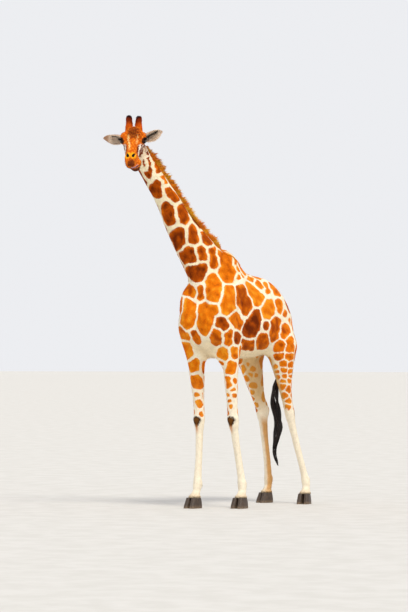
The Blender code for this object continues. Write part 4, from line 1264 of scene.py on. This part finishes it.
def hoof_material():
    """Horn with fine growth rings and grain, paler and dusty towards the ground."""
    material, tree, shader = node_tree("hoof_horn")
    where = add(tree, "ShaderNodeTexCoord")
    split = add(tree, "ShaderNodeSeparateXYZ")
    join(tree, where.outputs["Object"], split.inputs[0])
    height = split.outputs["Z"]
    grain = noise_at(tree, 160, 4, (1, 1, 0.15))
    base = mix_colour(tree, ramp(tree, grain, 0.3, 0.7), rgb(46, 37, 32), rgb(88, 70, 56))
    dust = ramp(tree, height, 0.045, 0.0)
    rubbed = maths(tree, "MULTIPLY", dust, ramp(tree, noise_at(tree, 60, 3), 0.35, 0.65, 0.2, 0.85))
    join(tree, mix_colour(tree, rubbed, base, rgb(140, 116, 90)), shader.inputs["Base Color"])
    wobble = maths(tree, "MULTIPLY", noise_at(tree, 12, 2), 5.0)
    rings = maths(tree, "ADD", maths(tree, "MULTIPLY", height, 800.0), wobble)
    rings = maths(tree, "SINE", rings, 0.0)
    join(tree, ramp(tree, grain, 0.3, 0.7, 0.38, 0.62), shader.inputs["Roughness"])
    bump(tree, shader, maths(tree, "ADD", maths(tree, "MULTIPLY", rings, 0.5), grain), 0.0012, 0.7)
    return material


# ---- the coat ---------------------------------------------------------------------------------------
def scatter(mesh, count, weight):
    """Points spread over the mesh by area times weight: their triangles' corners and each corner's share."""
    mesh.calc_loop_triangles()
    corners = np.empty(len(mesh.loop_triangles) * 3, np.int32)
    mesh.loop_triangles.foreach_get("vertices", corners)
    corners = corners.reshape(-1, 3)
    a, b, c = (places_of(mesh)[corners[:, k]] for k in range(3))
    area = np.linalg.norm(np.cross(b - a, c - a), axis=1) * weight[corners].min(1)
    total = np.cumsum(area)
    at = (np.arange(count) + RNG.uniform(size=count)) / count * total[-1]
    chosen = np.minimum(np.searchsorted(total, at), len(total) - 1)
    one, two = RNG.uniform(size=(2, count))
    over = one + two > 1
    one[over], two[over] = 1 - one[over], 1 - two[over]
    return corners[chosen], np.stack((1 - one - two, one, two), 1)


def blended(values, corners, shares):
    """The mesh's values at scattered points."""
    shares = shares if values.ndim == 1 else shares[..., None]
    return (values[corners] * shares).sum(1)


def mesh_from(name, points, faces, tones, uv):
    """A mesh of triangles with a colour for each point and a UV place for each."""
    mesh = bpy.data.meshes.new(name)
    mesh.vertices.add(len(points))
    mesh.vertices.foreach_set("co", points.astype(np.float32).ravel())
    mesh.loops.add(faces.size)
    mesh.loops.foreach_set("vertex_index", faces.astype(np.int32).ravel())
    mesh.polygons.add(len(faces))
    mesh.polygons.foreach_set("loop_start", np.arange(0, faces.size, 3, dtype=np.int32))
    mesh.polygons.foreach_set("loop_total", np.full(len(faces), 3, np.int32))
    mesh.update(calc_edges=True)
    mesh.shade_smooth()
    set_attribute(mesh, "tone", tones, "FLOAT_COLOR")
    layer = mesh.uv_layers.new(name="OFBake")
    layer.data.foreach_set("uv", uv[faces.ravel()].astype(np.float32).ravel())
    return mesh


def unwrapped(points):
    """Each point's place on an unwrap of the skin: a cell for each bone, the head and each ear."""
    label, station, angle, _ = chart(points)
    head = to_head(points)
    for k, sign in enumerate(SIDES.values()):
        mine = (head[:, 0] * sign > EAR_SIDE) & (np.abs(head[:, 1]) < 0.16) & (points[:, 2] > EAR_BOTTOM)
        label[mine] = len(PARTS) + k
        station[mine] = np.abs(head[mine, 0]) - 0.1
        angle[mine] = np.arctan2(head[mine, 1] - EAR_ROOT[1], head[mine, 2] - EAR_ROOT[2])
    across = 4
    uv = np.zeros((len(points), 2))
    for k in range(len(PARTS) + 2):
        mine = label == k
        if not mine.any():
            continue
        low, high = station[mine].min(), station[mine].max()
        uv[mine, 0] = (k % across + 0.04 + 0.92 * (angle[mine] / math.tau + 0.5)) / across
        uv[mine, 1] = (k // across + 0.04 + 0.92 * (station[mine] - low) / max(high - low, 0.01)) / across
    return uv


def locks(name, paths, widths, sideways, tones, flat=0.45):
    """Three-sided locks along paths (count, steps, 3), which end in a point; one closed mesh."""
    count, steps, _ = paths.shape
    run = unit(np.gradient(paths, axis=1))
    side = unit(sideways[:, None, :] - run * (sideways[:, None, :] * run).sum(-1, keepdims=True))
    rise = np.cross(side, run)
    points, colours = [], []
    for k in range(steps - 1):
        reach = widths[:, k, None] / 2
        for turn in (0, math.tau / 3, 2 * math.tau / 3):
            way = math.cos(turn) * side[:, k] + flat * math.sin(turn) * rise[:, k]
            points.append(paths[:, k] + reach * way)
            colours.append(tones[:, k])
    points.append(paths[:, -1])
    colours.append(tones[:, -1])
    each = len(points)
    points = np.stack(points, 1).reshape(-1, 3)
    colours = np.stack(colours, 1).reshape(-1, 3)
    faces = [(0, 2, 1)]
    for k in range(steps - 2):
        for a in range(3):
            b = (a + 1) % 3
            low, high = 3 * k, 3 * k + 3
            faces += [(low + a, low + b, high + b), (low + a, high + b, high + a)]
    last = 3 * (steps - 2)
    faces += [(last + a, last + (a + 1) % 3, each - 1) for a in range(3)]
    faces = (np.array(faces)[None] + (np.arange(count) * each)[:, None, None]).reshape(-1, 3)
    roots = unwrapped(paths[:, 0])
    spot = UV_PATCH / 2 * np.stack((np.cos(np.arange(each) * 2.1), np.sin(np.arange(each) * 2.1)), 1)
    uv = (roots[:, None] + spot[None]).reshape(-1, 2)
    return mesh_from(name, points, faces, colours, uv)


def tufts(name, roots, normals, flows, length, width, lift, tones):
    """Short tufts: flat three-sided spikes in one step, lying along the flow."""
    along = unit(flows - normals * (flows * normals).sum(1)[:, None])
    side = np.cross(normals, along)
    tips = roots + along * length[:, None] + normals * lift[:, None]
    paths = np.stack((roots - normals * 0.0012, tips), 1)
    widths = np.stack((width, width), 1)
    colours = np.stack((tones * 0.94, tones * 1.08), 1)
    return locks(name, paths, widths, side, colours)


def skin_colour(skin_data, corners, shares):
    """The colour that the skin's shader gives at points."""
    edge = blended(skin_data["edge"], corners, shares) + RNG.uniform(-0.003, 0.003, len(corners))
    inside = step(*EDGE, edge)
    ground = blended(skin_data["ground"], corners, shares)
    owner = skin_data["patch"][corners[np.arange(len(corners)), shares.argmax(1)]]
    return mixed(ground, owner, inside)


def rooted(skin, data, count, weight):
    """Places spread over the skin: their corners and shares, and the skin's point and normal at each."""
    corners, shares = scatter(skin, count, weight)
    roots = blended(data["places"], corners, shares)
    return corners, shares, roots, unit(blended(data["normals"], corners, shares))


def grow_coat(skin, data):
    """The short coat as tufts on every side, leaving the bare skin free."""
    made = {}
    smooth_flow = unit(spread(data["flow"], edges_of(skin), 25))
    places = data["places"]
    for name, (parts, count, length, width, lift) in COAT_PIECES.items():
        weight = on_part(data["label"], *parts) * (1 - data["bare"]) ** 2
        weight = weight * (places[:, 2] > SKIN_BOTTOM + 0.002)
        for side in SIDES:
            gap, z = lid_gap(side, places)
            slit = (z > 0) & (gap < 0.003) & (np.linalg.norm(places - EYES[side], axis=1) < 0.08)
            weight = weight * ~slit
        if name == "coat_head":
            weight = weight * np.where(data["ear"], 1.4, 1.0)
        corners, shares, roots, normals = rooted(skin, data, count, weight)
        flows = blended(smooth_flow, corners, shares)
        if name == "coat_head":
            ear = blended(data["ear"] * 1.0, corners, shares) > 0.5
            outwards = ACROSS * np.sign(to_head(roots)[:, 0])[:, None]
            flows = np.where(ear[:, None], outwards, flows)
            face = step(0.45, 0.62, to_head(roots)[:, 1])
            length = length * (1 - 0.55 * face)  # shortest on the muzzle
        flows = flows + 0.16 * RNG.normal(size=flows.shape)
        uneven = RNG.uniform(0.7, 1.25, count) * (1 + 0.2 * Noise(0.05)(roots))
        tones = skin_colour(data, corners, shares) * RNG.uniform(0.86, 1.12, (count, 1))
        widths = width * np.ones(count)
        made[name] = tufts(name, roots, normals, flows, length * uneven, widths, lift * uneven, tones)
    return made


def surface_of(mesh):
    """A tree of the mesh's faces, for casting rays."""
    return BVHTree.FromPolygons([v.co for v in mesh.vertices], [tuple(p.vertices) for p in mesh.polygons])


def crest_rows(surface):
    """Points down the nape from the poll to the withers, with the way out of the neck there."""
    line = LINES["neck"][::-1]
    rows = []
    for i in range(len(line) - 1):
        for t in np.arange(6) / 6:
            centre = line[i, :3] + t * (line[i + 1, :3] - line[i, :3])
            run = unit(line[i + 1, :3] - line[i, :3])
            out = unit(np.cross(-run, LEVEL))
            hit = surface.ray_cast(Vector(centre + out * 0.6), Vector(-out))[0]
            if hit is not None:
                rows.append((*hit, *out, *run))
    # onwards over the withers
    for y in np.arange(0.10, 0.45, 0.03):
        top = surface.ray_cast(Vector((ORIGIN[0], ORIGIN[1] + y, 3.4)), Vector((0, 0, -1)))[0]
        if top is not None:
            rows.append((*top, 0, 0.2, 0.98, 0, 0.95, -0.3))
    return np.array(rows)


def grow_mane(surface):
    """A stiff standing mane of fine locks on the nape, ragged and with dark tips."""
    rows = crest_rows(surface)
    places = rows[:, :3]
    far = np.concatenate(([0], np.cumsum(np.linalg.norm(np.diff(places, axis=0), axis=1))))
    end = far[-1]
    at = np.sort(RNG.uniform(0, end, MANE_LOCKS))
    between = np.stack([np.interp(at, far, column) for column in rows.T], 1)
    crest, out, run = between[:, :3], unit(between[:, 3:6]), unit(between[:, 6:])
    side = unit(np.cross(run, out))
    shift = RNG.normal(0, 0.0075, MANE_LOCKS)
    root = crest + side * shift[:, None] - out * (0.004 + 0.10 * np.abs(shift))[:, None]
    clump = 0.5 + 0.5 * Noise(0.05)(root) + 0.35 * Noise(0.018)(root)
    ragged = 0.66 + 0.36 * clump + 0.10 * RNG.normal(size=MANE_LOCKS)
    height = (MANE_HEIGHT + 0.010 * step(0.5, 0.0, at)) * ragged
    height *= (0.35 + 0.65 * step(0, 0.14, at)) * (0.16 + 0.84 * step(2.98, 3.16, root[:, 2]))
    height = np.clip(height, 0.012, 0.112)
    lean = run * (0.34 + 0.20 * Noise(0.07)(root))[:, None]
    lean = lean + side * (0.9 * shift / 0.03 + 0.16 * Noise(0.06)(root))[:, None]
    start, tip = unit(out + 0.3 * lean)[:, None], unit(out + lean)[:, None]
    share = np.linspace(0, 1, 4)[None, :, None]
    paths = root[:, None] + height[:, None, None] * (share * start * 0.55 + share**1.6 * tip * 0.5)
    widths = 0.0052 * np.array((1, 0.9, 0.6, 0))[None] * RNG.uniform(0.7, 1.2, (MANE_LOCKS, 1))
    gold, red, dark = rgb(255, 192, 44), rgb(255, 128, 12), rgb(150, 50, 28)
    band = np.clip(0.45 + 0.9 * Noise(0.16)(root) + 0.3 * RNG.normal(size=MANE_LOCKS), 0, 1)
    base = mixed(gold, red, band * 0.70)
    darker = np.clip(0.05 + 0.42 * step(3.4, 3.9, root[:, 2]) + 0.25 * RNG.normal(size=MANE_LOCKS), 0, 1)
    end_tone = mixed(base, dark, darker)
    tones = base[:, None] * (1 - share**1.5) + end_tone[:, None] * share**1.5
    tones = tones * RNG.uniform(0.86, 1.16, (MANE_LOCKS, 1, 1))
    return locks("mane_locks", paths, widths, side, tones, flat=0.7)


def grow_tail_tuft():
    """Long glossy black hair that leaves the tail all along its lower part and hangs in a slow S."""
    line = smooth_rows(np.array(TUFT_LINE) + (*ORIGIN, 0), 6)
    steps = 11
    clump = RNG.integers(0, TUFT_CLUMPS, TUFT_LOCKS)
    turns = math.tau * np.arange(TUFT_CLUMPS) / TUFT_CLUMPS + RNG.uniform(-0.3, 0.3, TUFT_CLUMPS)
    phases, sizes = RNG.uniform(0, math.tau, TUFT_CLUMPS), RNG.uniform(0.35, 1.05, TUFT_CLUMPS)
    start = RNG.uniform(0, 0.58, TUFT_LOCKS) ** 1.35
    long = RNG.uniform(0.40, 0.70, TUFT_LOCKS)
    end = np.minimum(start + long, 1.0 - 0.05 * RNG.uniform(0, 1, TUFT_LOCKS) ** 2)
    turn, out = RNG.uniform(0, math.tau, TUFT_LOCKS), RNG.uniform(0, 1, TUFT_LOCKS) ** 0.5
    along = np.linspace(0, 1, len(line))
    paths = np.zeros((TUFT_LOCKS, steps, 3))
    for k in range(steps):
        share = k / (steps - 1)
        at = start + (end - start) * share
        centre = np.stack([np.interp(at, along, line[:, c]) for c in range(3)], 1)
        wide = np.interp(at, along, line[:, 3])
        apart = 0.96 * wide * sizes[clump] * step(0.04, 0.22, at)
        lean = turns[clump] + 0.9 * np.sin(12 * at + phases[clump])
        fan = np.minimum(0.27 * wide, 0.010 + 0.06 * share * (end - start)) * out
        stray = 0.010 * share**2 * (RNG.uniform(size=TUFT_LOCKS) > 0.9) if k == steps - 1 else 0
        paths[:, k] = centre
        paths[:, k, 0] += np.cos(lean) * apart + np.cos(turn) * (fan + stray)
        paths[:, k, 1] += 0.8 * (np.sin(lean) * apart + np.sin(turn) * (fan + stray))
    widths = 0.0062 * np.linspace(1, 0.35, steps)[None] * RNG.uniform(0.6, 1.2, (TUFT_LOCKS, 1))
    side = np.stack((-np.sin(turn), np.cos(turn), 0 * turn), 1)
    shade = rgb(36, 25, 23) * RNG.uniform(0.5, 1.5, (TUFT_LOCKS, 1)) * (0.6 + 0.8 * (clump[:, None] % 2))
    tones = np.repeat(shade[:, None], steps, 1)
    return locks("tail_hair", paths, widths, side, tones, flat=0.6)


def face_key(face):
    """A number to sort faces by, as Blender makes a sphere's faces in another order each run."""
    first, second, third = sorted(vertex.index for vertex in face.verts)[:3]
    return (first * 10000 + second) * 10000 + third


def eye_mesh(side):
    """An eyeball with its cornea, iris and a wide pupil."""
    along, up, out = eye_axes(side)
    bm = bmesh.new()
    bmesh.ops.create_uvsphere(bm, u_segments=64, v_segments=48, radius=EYE_RADIUS)
    bm.verts.index_update()
    bm.faces.sort(key=face_key)
    mesh = bpy.data.meshes.new(f"eyeball_{side}")
    bm.to_mesh(mesh)
    bm.free()
    places = places_of(mesh)
    x, y, z = places @ along, places @ up, places @ out
    cornea = np.exp(-((x**2 + y**2) / 0.015**2)) * (z > 0)
    places = places * (1 + 0.06 * cornea)[:, None]
    ring = np.hypot(x, y)
    pupil = step(1.15, 0.85, np.hypot(x / 0.0095, y / 0.0060)) * (z > 0)
    iris = step(0.0205, 0.0185, ring) * (z > 0)
    tone = mixed(rgb(58, 36, 26), rgb(46, 23, 12), iris)
    tone = tone * (1 + 0.35 * iris * np.sin(np.arctan2(y, x) * 46 + 8 * Noise(0.01)(places)))[:, None]
    tone = mixed(tone, rgb(6, 4, 4), pupil)
    set_places(mesh, places + EYES[side])
    mesh.shade_smooth()
    set_attribute(mesh, "tone", tone, "FLOAT_COLOR")
    return mesh


def horn_skin(side):
    """One ossicone: the CAD horn made smooth, set deeper into the head, with knobs and a dark hairy top."""
    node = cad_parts[f"ossicone_{side}"].data.copy()
    mesh = remeshed(node, HORN_GRAIN)
    places = relax(places_of(mesh), edges_of(mesh), 14, np.ones(len(mesh.vertices)), out=-0.42)
    centre = places.mean(0)
    axis = np.linalg.svd(places - centre, full_matrices=False)[2][0]
    axis = axis * np.sign(axis[2])
    high = (places - centre) @ axis
    share = (high - high.min()) / (high.max() - high.min())
    flat = places - centre - high[:, None] * axis
    places = places + flat * (0.16 * step(0.45, 0.85, share) - 0.02)[:, None]
    places = places - axis * (0.012 * step(0.35, 0.0, share))[:, None]
    places = places + unit(flat) * (0.0016 * Noise(0.030)(places))[:, None]
    set_places(mesh, places)
    mesh.shade_smooth()
    tone = mixed(rgb(206, 88, 10), rgb(136, 44, 8), step(0.30, 0.75, share))
    tone = tone * (1 + 0.12 * Noise(0.03)(places))[:, None]
    tone = mixed(tone, rgb(48, 20, 26), step(0.82, 0.93, share + 0.02 * Noise(0.02)(places)))
    set_attribute(mesh, "tone", tone, "FLOAT_COLOR")
    return mesh, tone, share, axis


def grow_horn_hair(side, mesh, tone, share, axis):
    """Short fur up the horn and a stiff dark crown round its top."""
    data = {"places": places_of(mesh), "normals": normals_of(mesh)}
    corners, parts, roots, normals = rooted(mesh, data, 2800, 0.4 + step(0.3, 0.8, share))
    crown = step(0.80, 0.94, blended(share, corners, parts))
    along = unit(axis + 0.25 * normals + 0.20 * RNG.normal(size=roots.shape))
    reach = along * ((0.008 + 0.010 * crown) * RNG.uniform(0.6, 1.2, len(roots)))[:, None]
    paths = np.stack((roots - normals * 0.001, roots + reach * 0.55 + normals * 0.001, roots + reach), 1)
    widths = 0.0022 * np.array((1, 0.8, 0))[None] * np.ones((len(roots), 1))
    tones = blended(tone, corners, parts) * RNG.uniform(0.8, 1.15, (len(roots), 1))
    tones = np.repeat(tones[:, None], 3, 1)
    return locks(f"horn_hair_{side}", paths, widths, np.cross(normals, along), tones)


def hoof_mesh(name):
    """Both toes of one foot, rounded, with growth rings; the soles stay flat on the floor."""
    both = bmesh.new()
    for toe in ("inner", "outer"):
        both.from_mesh(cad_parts[f"hoof_{name}_{toe}"].data)
    bmesh.ops.remove_doubles(both, verts=both.verts, dist=1e-5)
    mesh = bpy.data.meshes.new(name)
    both.to_mesh(mesh)
    both.free()
    mesh = remeshed(mesh, HOOF_GRAIN)
    places = places_of(mesh)
    moved = relax(places, edges_of(mesh), 10, step(0.004, 0.016, places[:, 2]), out=-0.42)
    moved[:, 2] = np.maximum(moved[:, 2], 0)
    set_places(mesh, moved)
    wave = np.sin(math.tau * (moved[:, 2] + 0.004 * Noise(0.1)(moved)) / 0.0095)
    ring = 0.0007 * wave * step(0.004, 0.015, moved[:, 2])
    set_places(mesh, moved + normals_of(mesh) * ring[:, None] * (1, 1, 0))
    mesh.shade_smooth()
    return mesh


def grow_trim(data, skin):
    """Longer hair where it breaks the form: on ears, lids, chin, lip and breast, fetlocks and coronets."""
    places, head = data["places"], data["head"]
    side, z = np.abs(head[:, 0]), places[:, 2]
    grown = []

    def grow(count, weight, flow, length, width, tone, lift, droop=0.0):
        corners, shares, roots, normals = rooted(skin, data, count, weight + 1e-12)
        flow = np.broadcast_to(flow, places.shape)
        along = unit(blended(flow, corners, shares) + lift * normals + 0.25 * RNG.normal(size=roots.shape))
        size = (length * RNG.uniform(0.6, 1.15, count))[:, None]
        end = roots + along * size + np.array((0, 0, -droop)) * size
        paths = np.stack((roots - normals * 0.0015, roots + along * size * 0.5, end), 1)
        widths = width * np.array((1, 0.75, 0))[None] * np.ones((count, 1))
        own = skin_colour(data, corners, shares) if tone is None else tone
        own = own * RNG.uniform(0.82, 1.12, (count, 1))
        grown.append((paths, widths, np.cross(normals, along), np.repeat(own[:, None], 3, 1)))

    outwards = ACROSS * np.sign(head[:, :1])
    in_ear = data["ear"] * (data["normals"] @ FORWARD > 0.1) * step(0.33, 0.15, side)
    grow(4200, in_ear, outwards + 0.35 * FORWARD, 0.026, 0.0026, None, 0.25)
    grow(3800, data["ear"] * 1.0, outwards + 0.2 * UPWARD, 0.011, 0.0020, None, 0.2)
    chin = (head[:, 1] > 0.50) * step(-0.13, -0.16, head[:, 2])
    grow(420, chin, -UPWARD + 0.3 * FORWARD, 0.022, 0.0011, rgb(60, 34, 26), 0.4, 0.3)
    lips = (head[:, 1] > 0.56) * blob(head[:, 2], -0.09, 0.03)
    grow(320, lips, FORWARD - 0.6 * UPWARD + 0.5 * outwards, 0.014, 0.0009, rgb(120, 70, 44), 0.6)
    for name in SIDES:
        along, up, out = eye_axes(name)
        gap, ahead = lid_gap(name, places)
        away = places - EYES[name]
        lash = (np.abs(gap - 0.0022) < 0.0024) * (away @ up > 0.002) * (ahead > 0)
        lash = lash * (np.linalg.norm(away, axis=1) < 0.05)
        grow(260, lash, out + 0.15 * up - 0.5 * UPWARD, 0.020, 0.0011, rgb(16, 10, 9), 0.1, -0.2)
    down = np.array((0, 0, -1.0))
    coronet = step(0.160, 0.148, z) * step(0.128, 0.134, z)
    grow(3200, coronet, down, 0.019, 0.0028, None, 0.20)
    fetlock = on_part(data["label"], *LIMBS) * blob(z, 0.26, 0.04) * step(2.2, 2.8, np.abs(data["angle"]))
    grow(1500, fetlock, down, 0.030, 0.0026, None, 0.35)
    breast = on_part(data["label"], "trunk") * (data["normals"][:, 2] < -0.5)
    breast = breast * blob(places[:, 0], ORIGIN[0], 0.05)
    grow(1500, breast, down + (0, 0.8, 0), 0.022, 0.0030, None, 0.2)
    return locks("long_hair", *(np.concatenate(part) for part in zip(*grown)))


# ---- putting it together ----------------------------------------------------------------------------
def piece(name, mesh, material, slot, *nodes):
    """A visible piece that rides on the body and stands for CAD nodes."""
    obj = linked(name, mesh)
    mesh.materials.clear()
    mesh.materials.append(material)
    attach(obj, "root")
    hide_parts(*nodes)
    return obj


def build():
    """The skin with its coat and long hair, the eyes, horns and hooves, each with its material."""
    skin = skin_mesh()
    skin.shade_smooth()
    data = paint(skin)
    for name in ("ground", "patch"):
        set_attribute(skin, name, np.clip(data[name], 0, 1), "FLOAT_COLOR")
    for name in ("edge", "bare"):
        set_attribute(skin, name, data[name])
    fur = hair_material("tuft_fur", 0.80, 0.0)
    stiff = hair_material("mane_hair", 0.62, 0.03)
    glossy = hair_material("tail_hair", 0.34, 0.05, specular=0.4)
    legs = [f"leg_{name}" for name in LIMBS]
    piece("skin", skin, hide_material(), "coat", *FLESH, *EARS)
    covers = {
        "coat_trunk": ("trunk", "tail"), "coat_neck": ("neck",), "coat_legs_fore": legs[:2],
        "coat_legs_hind": legs[2:], "coat_head": ("head", *EARS),
    }
    for name, mesh in grow_coat(skin, data).items():
        piece(name, mesh, fur, "coat", *covers[name])
    piece("long_hair", grow_trim(data, skin), fur, "coat", "head", *EARS, *legs)
    piece("mane_locks", grow_mane(surface_of(skin)), stiff, "mane", "mane")
    piece("tail_hair", grow_tail_tuft(), glossy, "tail_hair", "tail_tuft")
    wet = eye_material()
    horn_fur = hair_material("horn_fur", 0.75, 0.0)
    for side in SIDES:
        piece(f"eyeball_{side}", eye_mesh(side), wet, "eye", f"eye_{side}")
        mesh, tone, share, axis = horn_skin(side)
        hair = grow_horn_hair(side, mesh, tone, share, axis)
        piece(f"horn_{side}", mesh, horn_fur, "horn", f"ossicone_{side}")
        piece(f"horn_hair_{side}", hair, horn_fur, "horn", f"ossicone_{side}")
    horn = hoof_material()
    for name in LIMBS:
        piece(f"hooves_{name}", hoof_mesh(name), horn, "hoof", f"hoof_{name}_inner", f"hoof_{name}_outer")


def stage_and_lights():
    """A wide pale floor, pale surroundings and one soft key light."""
    bm = bmesh.new()
    bmesh.ops.create_grid(bm, x_segments=60, y_segments=60, size=400)
    mesh = bpy.data.meshes.new("floor")
    bm.to_mesh(mesh)
    bm.free()
    material, tree, shader = node_tree("pale_floor")
    cloud = ramp(tree, noise_at(tree, 3, 3), 0.3, 0.7)
    join(tree, mix_colour(tree, cloud, rgb(204, 202, 197), rgb(212, 210, 206)), shader.inputs["Base Color"])
    shader.inputs["Roughness"].default_value = 0.85
    mesh.materials.append(material)
    linked("floor", mesh)
    world = bpy.data.worlds.new("studio")
    world.use_nodes = True
    ground = world.node_tree.nodes["Background"]
    ground.inputs["Color"].default_value = (0.96, 0.97, 1.0, 1)
    ground.inputs["Strength"].default_value = WORLD_LIGHT
    bpy.context.scene.world = world
    sun = bpy.data.lights.new("key", "SUN")
    sun.energy = KEY_LIGHT
    sun.angle = math.radians(18)
    sun.color = (1.0, 0.94, 0.84)
    key = linked("key", sun)
    towards = -(0.62 * BACK + 0.30 * RIGHT + np.array((0, 0, 1.0)))
    key.rotation_euler = Vector(towards).to_track_quat("-Z", "Y").to_euler()


def camera():
    """A long lens from afar, at a person's eye height and a little to the giraffe's left."""
    data = bpy.data.cameras.new("camera")
    data.lens = FOCAL_LENGTH
    data.sensor_fit = "VERTICAL"
    data.sensor_height = SENSOR_HEIGHT
    data.clip_end = 1000
    obj = linked("camera", data)
    obj.location = Vector(VIEWPOINT)
    obj.rotation_euler = (math.radians(90) + TILT, 0, AZIMUTH)
    bpy.context.scene.camera = obj


build()
stage_and_lights()
camera()
bpy.context.scene.view_settings.view_transform = "Standard"
